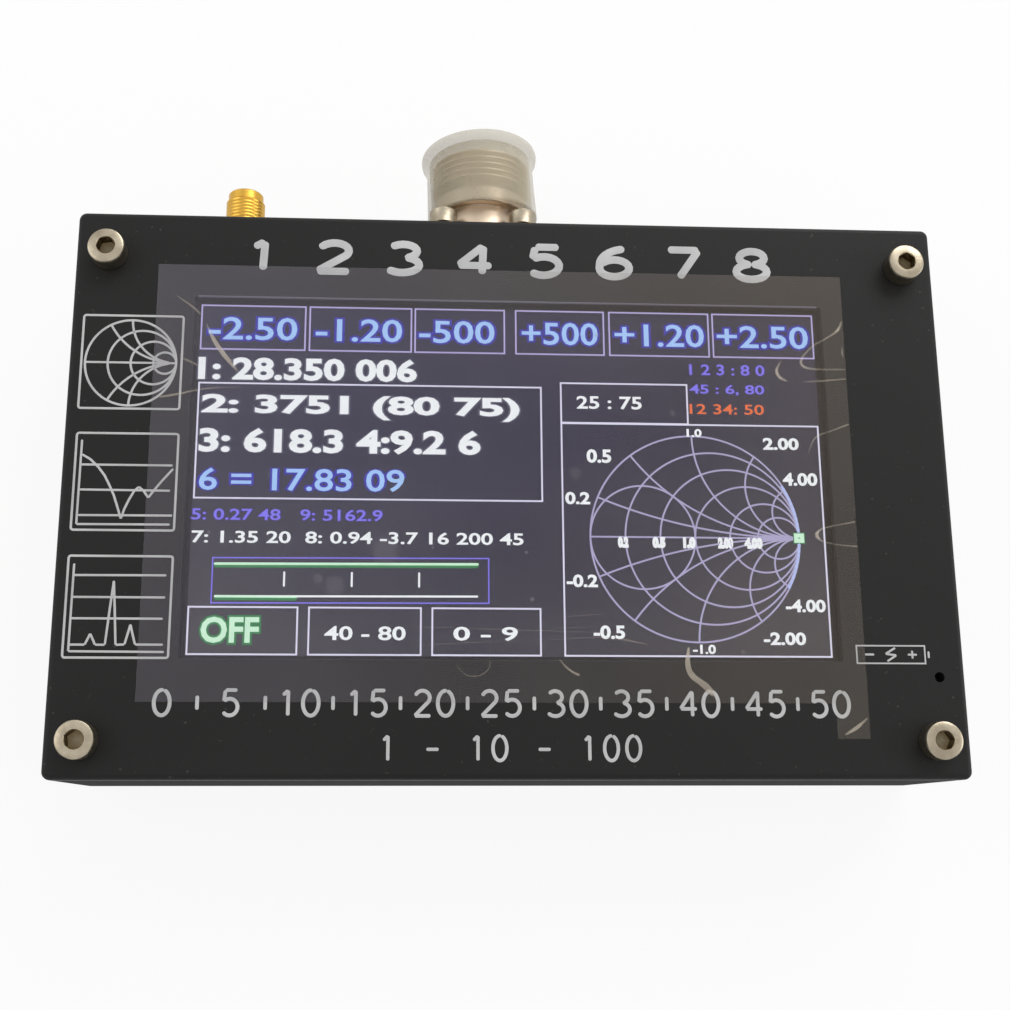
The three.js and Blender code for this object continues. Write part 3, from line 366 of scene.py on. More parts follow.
def blend_colours(share, first, second):
    """Two colours mixed by a share."""
    node = share.id_data.nodes.new("ShaderNodeMix")
    node.data_type = "RGBA"
    first_socket, second_socket = (s for s in node.inputs if s.type == "RGBA")
    set_socket(node.inputs["Factor"], share)
    set_socket(first_socket, first)
    set_socket(second_socket, second)
    return next(s for s in node.outputs if s.type == "RGBA")


def span(value, low, high, to_low=0.0, to_high=1.0):
    """A value carried from one range to another, held at the ends."""
    node = add_node(value.id_data, "ShaderNodeMapRange", Value=value, From_Min=low, From_Max=high)
    return feed(node, To_Min=to_low, To_Max=to_high).outputs["Result"]


def within(value, middle, half):
    """1 where a value lies less than half a width from a middle."""
    return math_node("LESS_THAN", math_node("ABSOLUTE", math_node("SUBTRACT", value, middle)), half)


def overlap(first, *others):
    """1 only where every mask is 1."""
    shared = first
    for mask in others:
        shared = math_node("MULTIPLY", shared, mask)
    return shared


def gloss(grain, smoothest, roughest):
    """A roughness that follows the fine grain."""
    return span(grain["Grain"], 0.3, 0.7, smoothest, roughest)


def bump(height, strength):
    node = add_node(height.id_data, "ShaderNodeBump", Strength=strength, Distance=0.1 * mm, Height=height)
    return node.outputs["Normal"]


def clouded(grain, dark, light, low=0.35, high=0.65):
    """Two close colours in broad cloudy patches."""
    return blend_colours(span(grain["Patches"], low, high), dark, light)


def grained(name, dark, light, rough, grain_scale, patch_scale, height, **plain):
    """A surface in two close colours with fine grain, uneven gloss and a low bump."""
    material, tree, shader = surface(name, **plain)
    grain = fine_grain(tree, grain_scale, patch_scale)
    colour = clouded(grain, (*dark, 1), (*light, 1))
    feed(shader, Base_Color=colour, Roughness=gloss(grain, *rough), Normal=bump(grain["Grain"], height))
    return material


# Satin black paint with a few specks of dust. A thin violet-grey line along the cut edge above the
# window is a painted reflection of the picture's top frame line
rim_middle_y = 29.43 * mm
rim_half = 0.14 * mm
rim_reach = 47.7 * mm
rim_low_z = 25.75 * mm
case_paint, paint_tree, paint_shader = surface("case_paint", Specular_IOR_Level=0.23)
paint_grain = fine_grain(paint_tree, 4200.0, 22.0)
paint_place = object_axes(paint_tree)
paint_colour = clouded(paint_grain, (0.0042, 0.004, 0.0038, 1), (0.0072, 0.0068, 0.0066, 1), 0.3, 0.7)
dust_specks = span(fine_grain(paint_tree, 1100.0, 300.0)["Grain"], 0.7, 0.76, 0.0, 0.5)
paint_dusty = blend_colours(dust_specks, paint_colour, (0.07, 0.068, 0.062, 1))
# Mask of the painted reflection: a thin strip on the upper rim of the window
painted_rim_reflection = overlap(
    within(paint_place["Y"], rim_middle_y, rim_half),
    within(paint_place["X"], 0.0, rim_reach),
    math_node("GREATER_THAN", paint_place["Z"], rim_low_z),
)
feed(
    paint_shader,
    Base_Color=blend_colours(painted_rim_reflection, paint_dusty, (0.15, 0.14, 0.18, 1)),
    Roughness=gloss(paint_grain, 0.5, 0.62),
    Normal=bump(paint_grain["Grain"], 0.1),
)
tray_paint = grained(
    "tray_paint", (0.006, 0.0057, 0.0055), (0.0105, 0.0098, 0.0095), (0.74, 0.86), 4200.0, 22.0, 0.15,
    Specular_IOR_Level=0.12,
)

screw_columns = (-61.4 * mm, 61.4 * mm)
screw_rows = (36.15 * mm, -37.55 * mm)
screw_places = [(x, y) for y in screw_rows for x in screw_columns]
shank_gap = 0.15 * mm
shank_hole = 1.5 * mm + shank_gap
socket_axis_z = 13 * mm
large_socket_x = -4 * mm
small_socket_x = -42.9 * mm
flange_screw_offset = 6.35 * mm
flange_screw_places = [
    (large_socket_x + side * flange_screw_offset, socket_axis_z + level * flange_screw_offset)
    for level in (1, -1)
    for side in (-1, 1)
]
port_width = 7.6 * mm
port_thickness = 2.6 * mm


def port_tool(low_x, high_x, y, z, grow):
    """A micro socket's outline, two lower corners cut off, drawn out along X."""
    half_across = port_width / 2 + grow
    half_high = port_thickness / 2 + grow
    tool = add_box((low_x, y - half_across, z - half_high), (high_x, y + half_across, z + half_high))

    def lower_corner(first, second):
        return level_at(z - half_high)(first, second) and close_to(first.y, second.y)

    bevel_edges(tool, lower_corner, 1 * mm, 1)
    return tool


data_port_place = (14 * mm, 17.2 * mm)
charge_port_place = (-21.6 * mm, 14.9 * mm)
card_place = (-4 * mm, 17.55 * mm)
card_opening = (11.6 * mm, 1.4 * mm)
switch_place = (-3.6 * mm, 15.75 * mm)
lever_opening = (4.6 * mm, 2.4 * mm)
opening_gap = 0.45 * mm

tray = case_half(0, seam_z, 0, every_edge)
bevel_edges(tray, level_at(seam_z), seam_break, 2)
inner_x = half_width - wall
inner_y = half_height - wall
hollow = add_box((-inner_x, -inner_y, wall), (inner_x, inner_y, seam_z + overrun))
bevel_edges(hollow, upright, corner_radius / 2, 4)
cut(tray, hollow)
for post_x, post_y in screw_places:
    corner_x = math.copysign(inner_x + wall / 2, post_x)
    corner_y = math.copysign(inner_y + wall / 2, post_y)
    web_low = (min(post_x, corner_x), min(post_y, corner_y), wall / 2)
    web_high = (max(post_x, corner_x), max(post_y, corner_y), seam_z - seam_break)
    join(tray, add_box(web_low, web_high))
    join(tray, upright_rod(post_radius, post_x, post_y, wall / 2, seam_z - seam_break * 2))
    cut(tray, upright_rod(shank_hole, post_x, post_y, post_hole_low, post_hole_high))
pad_low = (large_socket_x - pad_half, inner_y - pad_depth, wall / 2)
join(tray, add_box(pad_low, (large_socket_x + pad_half, inner_y + wall / 2, seam_z - seam_break)))
for boss_x, boss_y in charge_bosses:
    join(tray, upright_rod(charge_boss_radius, boss_x, boss_y, wall / 2, charge_boss_top))
    cut(tray, upright_rod(charge_hole_radius, boss_x, boss_y, charge_hole_low, charge_hole_high, 24))
right_wall = (inner_x - overrun, half_width + overrun)
left_wall = (-half_width - overrun, overrun - inner_x)
cut(
    tray,
    port_tool(*left_wall, *data_port_place, opening_gap),
    port_tool(*right_wall, *charge_port_place, opening_gap),
)
for (slot_y, slot_z), (slot_width, slot_height), (low_x, high_x) in (
    (card_place, card_opening, left_wall),
    (switch_place, lever_opening, right_wall),
):
    slot_low = (low_x, slot_y - slot_width / 2, slot_z - slot_height / 2)
    slot_high = (high_x, slot_y + slot_width / 2, slot_z + slot_height / 2)
    cut(tray, add_box(slot_low, slot_high))
end_wall = (inner_y - 3 * mm, half_height + overrun)
cut(
    tray,
    level_rod(large_bore, large_socket_x, socket_axis_z, *end_wall),
    level_rod(small_bore, small_socket_x, socket_axis_z, *end_wall),
)
for hole_x, hole_z in flange_screw_places:
    cut(tray, level_rod(flange_hole, hole_x, hole_z, *end_wall, 24))
hand_in(tray, "tray", tray_paint, "case_black", "rear_case")

# Battery
# A flat lithium pouch in silver foil with folded edges, held on the floor of the tray by tape.
# Two soft leads run from its end to a plug.
foil = grained(
    "battery_foil", (0.42, 0.44, 0.46), (0.56, 0.58, 0.6), (0.28, 0.45), 900.0, 60.0, 0.3, Metallic=0.7
)
amber_tape = grained(
    "amber_tape", (0.52, 0.42, 0.2), (0.66, 0.56, 0.32), (0.5, 0.7), 1500.0, 80.0, 0.2
)
lead_red = grained("lead_red", (0.35, 0.012, 0.01), (0.45, 0.02, 0.016), (0.4, 0.55), 2500.0, 200.0, 0.1)
lead_black = grained(
    "lead_black", (0.008, 0.008, 0.008), (0.016, 0.016, 0.016), (0.4, 0.55), 2500.0, 200.0, 0.1
)


def dress(material, *names):
    """Gives carried-over pieces their finish."""
    for name in names:
        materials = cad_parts[name].data.materials
        materials.clear()
        materials.append(material)


dress(foil, "battery")
dress(amber_tape, "battery_tape")
dress(lead_red, "battery_lead_red")
dress(lead_black, "battery_lead_black")

# Boards
# Two green glass-fibre boards: the main one hangs under the display, and the charging one stands
# on bosses by the right wall. Chips, connectors and a tin can over the radio part sit on them.
board_green, board_tree, board_shader = surface("board_green", Coat_Weight=0.3, Coat_Roughness=0.15)
board_traces = add_node(
    board_tree, "ShaderNodeTexBrick", Vector=object_place(board_tree), Scale=260.0,
    Color1=(0.008, 0.05, 0.022, 1), Color2=(0.012, 0.075, 0.033, 1), Mortar=(0.006, 0.036, 0.016, 1),
)
board_grain = fine_grain(board_tree, 2600.0, 120.0)
feed(
    board_shader,
    Base_Color=clouded(board_grain, board_traces.outputs["Color"], (0.01, 0.06, 0.028, 1)),
    Roughness=gloss(board_grain, 0.3, 0.45),
    Normal=bump(board_traces.outputs["Fac"], 0.2),
)
chip_black = grained(
    "chip_black", (0.01, 0.01, 0.011), (0.02, 0.02, 0.021), (0.5, 0.7), 5000.0, 300.0, 0.2
)
tin_plate = grained(
    "tin_plate", (0.5, 0.51, 0.52), (0.64, 0.65, 0.66), (0.25, 0.4), 2000.0, 120.0, 0.1, Metallic=1.0
)
connector_cream = grained(
    "connector_cream", (0.62, 0.58, 0.48), (0.72, 0.68, 0.58), (0.4, 0.55), 2500.0, 200.0, 0.1
)
ribbon_amber = grained(
    "ribbon_amber", (0.2, 0.09, 0.02), (0.32, 0.15, 0.035), (0.3, 0.45), 1800.0, 150.0, 0.1
)
coax_brown = grained(
    "coax_brown", (0.13, 0.055, 0.022), (0.22, 0.1, 0.04), (0.3, 0.45), 2500.0, 300.0, 0.15
)
dress(board_green, "main_board", "charge_board")
dress(chip_black, "processor_chip", "memory_chip", "synthesizer_chip", "charger_chip", "board_header")
dress(tin_plate, "crystal", "radio_shield", "card_socket", "switch_body", "lcd_frame")
dress(connector_cream, "display_socket", "touch_socket", "battery_socket", "battery_plug")
dress(ribbon_amber, "display_ribbon", "touch_ribbon")
dress(coax_brown, "large_socket_coax", "small_socket_coax")

# Display
# A 4.3 inch module behind the window: foam tape, a light guide, the glass with the lit picture,
# a foam gasket and the clear touch panel on top.
black_foam = grained(
    "black_foam", (0.006, 0.006, 0.007), (0.014, 0.014, 0.015), (0.85, 0.95), 2500.0, 200.0, 0.5
)
light_guide = grained(
    "light_guide", (0.78, 0.8, 0.82), (0.86, 0.87, 0.88), (0.3, 0.4), 2500.0, 120.0, 0.05
)
dress(black_foam, "window_gasket", "display_tape")
dress(light_guide, "backlight")

# Display glass
# The glass sandwich of the display. Only its middle lights up. Where the picture is black it is a
# dark violet grey, brighter at the sides and below: partly backlight bleed and partly a painted
# reflection that leaves the middle darker.
dot = 0.198 * mm
picture_left = -47.52 * mm
picture_top = 28.63 * mm
picture_width = 480
picture_height = 272
picture_z = 24 * mm


def linear(red, green, blue):
    """A colour as it is read off a picture, 0 to 255, for a shader."""
    channels = []
    for value in (red, green, blue):
        share = value / 255
        channels.append(share / 12.92 if share <= 0.04045 else ((share + 0.055) / 1.055) ** 2.4)
    return (*channels, 1)


glass_low, glass_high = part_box("lcd_glass")
display_glass = add_box(glass_low, glass_high)
bevel_edges(display_glass, upright, 0.4 * mm, 3)
bevel_edges(display_glass, level_at(glass_high[2]), 0.08 * mm, 2)
dark_glass, dark_tree, dark_shader = surface("display_dark", Specular_IOR_Level=0.1, Emission_Strength=1.0)
dark_place = object_axes(dark_tree)
dark_grain = fine_grain(dark_tree, 2600.0, 24.0)
dark_patches = span(dark_grain["Patches"], 0.35, 0.65)
off_middle_y = math_node("SUBTRACT", dark_place["Y"], picture_top - dot * picture_height / 2)
# Brighter toward the sides and the bottom: partly backlight bleed, partly painted reflection
side_bleed_and_reflection = span(math_node("ABSOLUTE", dark_place["X"]), 10 * mm, 47 * mm, 0.0, 0.35)
low_bleed_and_reflection = span(off_middle_y, -24 * mm, 5 * mm, 0.6, 0.0)
patch_leak = math_node("MULTIPLY", dark_patches, 0.1)
black_glow_share = math_node("ADD", math_node("ADD", side_bleed_and_reflection, low_bleed_and_reflection), patch_leak)
dark_glow = blend_colours(black_glow_share, (0.002, 0.001, 0.032, 1), (0.05, 0.045, 0.052, 1))
inside = overlap(
    within(dark_place["X"], 0.0, dot * picture_width / 2), within(off_middle_y, 0.0, dot * picture_height / 2)
)
feed(
    dark_shader,
    Emission_Color=blend_colours(inside, (0.0, 0.0, 0.0, 1), dark_glow),
    Base_Color=blend_colours(dark_patches, (0.01, 0.01, 0.012, 1), (0.014, 0.013, 0.015, 1)),
    Roughness=gloss(dark_grain, 0.25, 0.35),
)
hand_in(display_glass, "display_glass", dark_glass, "picture", "lcd_glass")

# Picture
# What the lit display shows: a row of step buttons, readings, a scan bar and an impedance chart.
# Each line and number is a thin shape that glows, placed by the display's own 480 x 272 dots.
glow_group, _, glow_out = new_group("glow_dots", {}, ("Light",))
glow_noise = noise(glow_group, object_place(glow_group), 900.0, 2.0)
feed(glow_out, Light=span(glow_noise, 0.25, 0.75, 0.82, 1.0))


def glow(name, red, green, blue):
    """A lit colour of the display, slightly uneven from dot to dot."""
    material, tree, shader = surface(name, Roughness=0.4, Specular_IOR_Level=0.0, Emission_Strength=1.0)
    light = place_group(tree, glow_group)["Light"]
    full = linear(red, green, blue)
    dim = tuple(channel * 0.6 for channel in full[:3]) + (1,)
    feed(
        shader,
        Emission_Color=blend_colours(light, dim, full),
        Base_Color=blend_colours(light, (0.0, 0.0, 0.0, 1), (0.01, 0.01, 0.01, 1)),
    )
    return material


def flatten(piece, heights):
    """Presses a piece flat between two heights."""
    levels = [v.co.z for v in piece.data.vertices]
    middle = (min(levels) + max(levels)) / 2
    share = (heights[1] - heights[0]) / (max(levels) - min(levels))
    make_active(piece)
    bpy.ops.object.mode_set(mode="EDIT")
    bpy.ops.mesh.select_all(action="SELECT")
    bpy.ops.transform.resize(value=(1, 1, share), center_override=(0, 0, middle))
    bpy.ops.transform.translate(value=(0, 0, sum(heights) / 2 - middle))
    bpy.ops.object.mode_set(mode="OBJECT")


def stroke_ends(line, width):
    """A line's points with a radius each, so that both its ends come out round."""
    steps = 5
    lengths = [(b - a).length for a, b in zip(line, line[1:])]
    total = sum(lengths)
    reach = min(width / 2, total * 0.49)
    near = [(1 - math.cos(math.pi / 2 * i / steps)) * reach for i in range(steps)]
    corners = [sum(lengths[:i]) for i in range(1, len(line) - 1)]
    stations = sorted(set(near + [total - d for d in near] + corners))
    points = []
    for station in stations:
        run = station
        for start, end, length in zip(line, line[1:], lengths):
            if run <= length or end is line[-1]:
                point = start.lerp(end, min(run / length, 1)) if length else start
                break
            run -= length
        from_end = min(station, total - station)
        depth = max(width / 2 - from_end, 0) / (width / 2)
        points.append((point, max(math.sqrt(max(1 - depth * depth, 0)), 0.05)))
    return points


def split_at_corners(line):
    """A line cut where it turns sharply, so that each joint comes out round."""
    pieces = [[line[0]]]
    for before, point, after in zip(line, line[1:], line[2:]):
        pieces[-1].append(point)
        if (point - before).angle(after - point, 0) > math.radians(50):
            pieces.append([point])
    pieces[-1].append(line[-1])
    return pieces


def round_curve(radius, resolution):
    """An empty curve that draws its lines as round rods."""
    curve = bpy.data.curves.new("drawn_lines", "CURVE")
    curve.dimensions = "3D"
    curve.bevel_depth = radius
    curve.bevel_resolution = resolution
    curve.use_fill_caps = True
    return curve


def press_curve(curve, heights):
    """A curve as a mesh, pressed flat between two heights."""
    drawn = bpy.data.objects.new("drawn_lines", curve)
    bpy.context.scene.collection.objects.link(drawn)
    make_active(drawn)
    bpy.ops.object.convert(target="MESH")
    flatten(drawn, heights)
    return drawn


def strokes(lines, width, heights, closed=False):
    """Thin flat lines of one width as a mesh, with round ends. Points are (x, y) in metres."""
    curve = round_curve(width / 2, 1)
    parts = [[Vector((x, y, 0)) for x, y in line] for line in lines]
    if not closed:
        parts = [part for line in parts for part in split_at_corners(line)]
    for number, line in enumerate(parts):
        dressed = [(point, 1.0) for point in line] if closed else stroke_ends(line, width)
        # Lines that cross lie a hair apart, so that no two faces share a place
        rise = Vector((0, 0, number % 5 * width * 0.02))
        dressed = [(point + rise, radius) for point, radius in dressed]
        spline = curve.splines.new("POLY")
        spline.points.add(len(dressed) - 1)
        spline.use_cyclic_u = closed
        for target, (point, radius) in zip(spline.points, dressed):
            target.co = (*point, 1)
            target.radius = radius
    return press_curve(curve, heights)


def merge_pieces(pieces):
    """Several meshes as one."""
    bpy.ops.object.select_all(action="DESELECT")
    for piece in pieces:
        piece.select_set(True)
    bpy.context.view_layer.objects.active = pieces[0]
    bpy.ops.object.join()
    return bpy.context.active_object


def at_dot(x, y):
    return picture_left + x * dot, picture_top - y * dot


def frame_lines(left, top, right, bottom):
    return [at_dot(left, top), at_dot(right, top), at_dot(right, bottom), at_dot(left, bottom)]


def words(body, left, bottom, height, width, heights, bold):
    """Numbers set on one line from a lower left corner, stretched to a height and width."""
    bpy.ops.object.select_all(action="DESELECT")
    bpy.ops.object.text_add()
    drawn = bpy.context.active_object
    drawn.data.body = body
    drawn.data.size = 1
    drawn.data.extrude = 0.05
    drawn.data.resolution_u = 3
    drawn.data.offset = bold
    bpy.ops.object.convert(target="MESH")
    drawn = bpy.context.active_object
    xs = [v.co.x for v in drawn.data.vertices]
    ys = [v.co.y for v in drawn.data.vertices]
    scale_x = width / (max(xs) - min(xs) - bold * 2)
    scale_y = height / (max(ys) - min(ys) - bold * 2)
    make_active(drawn)
    bpy.ops.object.mode_set(mode="EDIT")
    bpy.ops.mesh.select_all(action="SELECT")
    bpy.ops.transform.translate(value=(-min(xs) - bold, -min(ys) - bold, 0))
    bpy.ops.transform.resize(value=(scale_x, scale_y, 1), center_override=(0, 0, 0))
    bpy.ops.transform.translate(value=(left, bottom, 0))
    bpy.ops.object.mode_set(mode="OBJECT")
    flatten(drawn, heights)
    return drawn


lit_heights = (picture_z + 0.012 * mm, picture_z + 0.02 * mm)
halo_heights = (picture_z + 0.002 * mm, picture_z + 0.01 * mm)


def lit_words(rows, bold, material, name, heights=lit_heights):
    """A set of readings in one colour. Each row is a text with its box in dots."""
    pieces = []
    for body, left, top, right, bottom in rows:
        corner = at_dot(left, bottom)
        pieces.append(words(body, *corner, (bottom - top) * dot, (right - left) * dot, heights, bold))
    return hand_in(merge_pieces(pieces), name, material, "picture")


step_rows = [
    ("-2.50", 7, 9, 74, 27), ("-1.20", 89, 9, 155, 27), ("-500", 169, 9, 227, 27),
    ("+500", 249, 9, 308, 27), ("+1.20", 322, 9, 392, 27), ("+2.50", 403, 9, 475, 27),
]
blue_rows = step_rows + [("6 = 17.83 09", 4.5, 130, 158, 147)]
white_rows = [
    ("1: 28.350 006", 1, 42, 166, 59),
    ("2: 3751 (80 75)", 5, 72, 245, 90),
    ("3: 618.3 4:9.2 6", 4, 99, 215, 117),
]
small_rows = [
    ("7: 1.35 20  8: 0.94 -3.7 16 200 45", 1, 178.5, 248, 187.5),
    ("25 : 75", 291, 69, 341, 79),
    ("40 - 80", 101, 250, 160, 260),
    ("0 - 9", 196, 250, 243, 260),
]
violet_rows = [
    ("5: 0.27 48   9: 5162.9", 0, 161.5, 142, 170),
    ("1 2 3 : 8 0", 380, 41.5, 439, 50),
    ("45 : 6, 80", 379.5, 58, 438, 66.5),
]
blue_light = glow("picture_blue", 168, 205, 255)
blue_halo = glow("picture_blue_halo", 52, 44, 172)
white_light = glow("picture_white", 250, 252, 255)
white_halo = glow("picture_white_halo", 92, 92, 112)
violet_light = glow("picture_violet", 132, 120, 244)
violet_halo = glow("picture_violet_halo", 56, 44, 132)
orange_light = glow("picture_orange", 240, 112, 58)
green_light = glow("picture_green", 212, 250, 220)
green_halo = glow("picture_green_halo", 52, 134, 78)
frame_light = glow("picture_frames", 190, 178, 230)
box_light = glow("picture_boxes", 232, 228, 250)
chart_light = glow("picture_chart", 178, 170, 208)
trace_light = glow("picture_trace", 186, 200, 250)
orange_rows = [("12 34: 50", 379, 74, 437, 82)]
green_rows = [("OFF", 11, 244, 52, 262)]
lit_words(blue_rows, 0.012, blue_light, "blue_numbers")
lit_words(blue_rows, 0.07, blue_halo, "blue_halo", halo_heights)
lit_words(white_rows, 0.035, white_light, "white_numbers")
lit_words(white_rows, 0.07, white_halo, "white_halo", halo_heights)
lit_words(small_rows, 0.02, white_light, "small_numbers")
lit_words(violet_rows, 0.012, violet_light, "violet_numbers")
lit_words(violet_rows, 0.05, violet_halo, "violet_halo", halo_heights)
lit_words(orange_rows, 0.012, orange_light, "orange_numbers")
lit_words(green_rows, 0.03, green_light, "green_word")
lit_words(green_rows, 0.09, green_halo, "green_halo", halo_heights)


def lit_lines(lines, width, material, name, closed=False, heights=lit_heights):
    return hand_in(strokes(lines, width * dot, heights, closed), name, material, "picture")


step_frames = [
    frame_lines(left, -0.6, right, 35)
    for left, right in ((0.8, 80.5), (84, 162.5), (165.5, 235), (244, 313), (317.5, 396), (399.5, 479.2))
]
lit_lines(step_frames, 1.7, frame_light, "step_frames", closed=True)
box_frames = [
    frame_lines(*box)
    for box in (
        (1, 62.5, 263, 153.2), (278.5, 58.5, 377, 90.5), (278.5, 91, 478.8, 271),
        (0.8, 236, 80.5, 271), (89, 236, 171.5, 271), (180, 236, 260.5, 271),
    )
]
lit_lines(box_frames, 1.8, box_light, "box_frames", closed=True)
lit_lines([[at_dot(19, 228), at_dot(214, 227)]], 1.6, white_light, "scan_lower_line")
scan_bars = [[at_dot(18, 203.5), at_dot(214.5, 202.5)], [at_dot(19, 228), at_dot(80, 228)]]
lit_lines(scan_bars, 2.0, green_light, "scan_bars")
halo_bars = [[(x, y - dot) for x, y in bar] for bar in scan_bars]
lit_lines(halo_bars, 4.0, green_halo, "scan_halo", heights=halo_heights)
scan_box = [[at_dot(17, 199), at_dot(222, 198), at_dot(222, 232), at_dot(17, 233)]]
lit_lines(scan_box, 1.4, violet_light, "scan_box", closed=True)
scan_ticks = [[at_dot(x, 209), at_dot(x, 220.5)] for x in (70, 120, 170)]
lit_lines(scan_ticks, 1.6, white_light, "scan_ticks")

# Impedance chart: circles of equal resistance and arcs of equal reactance inside a full circle
chart_middle = (379.3, 180.4)
chart_radius = 80.2
chart_values = (0.2, 0.5, 1, 2, 4)


def chart_place(real, imaginary):
    """A point of the chart, whose full circle has a radius of 1."""
    return at_dot(chart_middle[0] + chart_radius * real, chart_middle[1] - chart_radius * imaginary)


def reflection(resistance, reactance):
    """The point on a chart of radius 1 where an impedance lies."""
    load = complex(resistance, reactance)
    ratio = (load - 1) / (load + 1)
    return ratio.real, ratio.imag


def arc_points(middle_x, middle_y, radius_x, radius_y, start, end, steps=18):
    """Points along part of an ellipse, angles in degrees."""
    points = []
    for step in range(steps + 1):
        angle = math.radians(start + (end - start) * step / steps)
        points.append((middle_x + radius_x * math.cos(angle), middle_y + radius_y * math.sin(angle)))
    return points


chart_circles = []
chart_rings = [(value / (value + 1), 1 / (value + 1)) for value in (0, *chart_values)]
for middle, radius in chart_rings + [(-0.5, 0.5)]:
    ring = arc_points(middle, 0, radius, radius, 0, 356.25, 95)
    chart_circles.append([chart_place(*point) for point in ring])
lit_lines(chart_circles, 1.35, chart_light, "chart_circles", closed=True)
chart_arcs = [[chart_place(-1, 0), chart_place(*reflection(99, 0))]]
resistances = [(step / 40) ** 2 / (1 - step / 41) * 2.2 for step in range(41)]
for value in chart_values:
    for reactance in (value, -value):
        chart_arcs.append([chart_place(*reflection(r, reactance)) for r in resistances])
lit_lines(chart_arcs, 1.35, chart_light, "chart_arcs")

# The measured trace: an uneven bright arc along the rim
trace = []
for step in range(61):
    angle = math.radians(step - 29)
    reach = 1 - 0.006 * (step % 3)
    trace.append(chart_place(reach * math.cos(angle), reach * math.sin(angle)))
trace_heights = [height + 0.004 * mm for height in lit_heights]
lit_lines([trace], 2.4, trace_light, "chart_trace", heights=trace_heights)
chart_rows = [
    ("0.5", 298, 112, 316, 122), ("0.2", 281, 146, 299, 155), ("-0.2", 281, 210, 303.5, 219),
    ("-0.5", 300.5, 248.5, 323, 258), ("2.00", 435.5, 101, 462.5, 110), ("4.00", 449.5, 129, 475.5, 138.5),
    ("-4.00", 446.5, 228, 476, 237), ("-2.00", 428.5, 253, 459.5, 262), ("1.0", 376, 94.5, 387, 100.5),
    ("-1.0", 374.5, 262.5, 391, 269),
]
lit_words(chart_rows, 0.035, white_light, "chart_numbers")
block_rows = [
    ("0.2", 320.5, 181, 327.5, 188), ("0.5", 347, 181, 355.5, 188), ("1.0", 370.5, 181, 378.5, 188),
    ("2.00", 397, 181, 407.5, 188), ("4.00", 417.5, 181, 430, 188),
]
lit_words(block_rows, 0.1, white_light, "axis_numbers")
marker_box = [frame_lines(456.9, 178.1, 461.4, 182.2)]
marker_heights = (lit_heights[0] + 0.01 * mm, lit_heights[1] + 0.012 * mm)
under_marker = [height + 0.006 * mm for height in lit_heights]
lit_lines(marker_box, 4.6, green_light, "chart_marker", True, marker_heights)
lit_lines(marker_box, 6.6, green_halo, "marker_halo", True, under_marker)

# Touch panel
# A plate of clear glass over the display, held behind the window by the foam gasket.
clear_glass, clear_tree, clear_shader = surface("touch_glass", Transmission_Weight=1.0, IOR=1.12)
clear_patches = fine_grain(clear_tree, 700.0, 30.0)["Patches"]
feed(
    clear_shader,
    Roughness=span(clear_patches, 0.3, 0.7, 0.0, 0.03),
    Base_Color=blend_colours(clear_patches, (0.93, 0.95, 0.95, 1), (0.97, 0.98, 0.98, 1)),
)
touch_low, touch_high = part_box("touch_panel")
touch_gap = 0.06 * mm
touch_plate = add_box((touch_low[0], touch_low[1], touch_low[2] + touch_gap), touch_high)
bevel_edges(touch_plate, upright, 0.8 * mm, 4)
bevel_edges(touch_plate, level_at(touch_high[2]), 0.12 * mm, 2)
hand_in(touch_plate, "touch_plate", clear_glass, "touch_glass", "touch_panel")

# Front plate
# The lid of the case: a 3 mm aluminium plate, painted like the tray, with rounded edges, the
# window, a pocket behind it for the display, and four bosses that the main board hangs from.
front_z = 26 * mm
lip_z = 25 * mm
window_middle_y = 1.7 * mm
window_half_x = 48.22 * mm
window_half_y = 27.63 * mm
pocket_gap = 0.3 * mm
ribbon_room = 1.25 * mm
lamp_hole = 0.75 * mm
board_boss_radius = 2.75 * mm
board_boss_hole = 1.35 * mm
board_boss_x = 56.3 * mm
board_boss_y = 28 * mm
boss_grip = 0.5 * mm
rim_slack = 0.12 * mm
through_plate = (seam_z - overrun, front_z + overrun)
front_plate = case_half(seam_z, front_z, front_z, upright)
bevel_edges(front_plate, level_at(seam_z), seam_break, 2)
frame_low, frame_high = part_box("lcd_frame")
cut(
    front_plate,
    add_box(
        (frame_low[0] - pocket_gap, frame_low[1] - pocket_gap, seam_z - overrun),
        (frame_high[0] + pocket_gap, frame_high[1] + pocket_gap, lip_z),
    ),
)
ribbon_low, ribbon_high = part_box("touch_ribbon")
cut(
    front_plate,
    add_box(
        (ribbon_low[0] - pocket_gap, ribbon_low[1] - ribbon_room, seam_z - overrun),
        (ribbon_high[0] + pocket_gap, frame_low[1] + overrun, lip_z),
    ),
)
window_tool = add_box(
    (-window_half_x, window_middle_y - window_half_y, lip_z - overrun),
    (window_half_x, window_middle_y + window_half_y, front_z + overrun),
)
bevel_edges(window_tool, upright, 0.4 * mm, 4)
cut(front_plate, window_tool)


def window_rim(first, second):
    """True for an edge of the window in the plate's face."""
    return all(
        close_to(point.z, front_z)
        and abs(point.x) < window_half_x + rim_slack
        and abs(point.y - window_middle_y) < window_half_y + rim_slack
        for point in (first, second)
    )


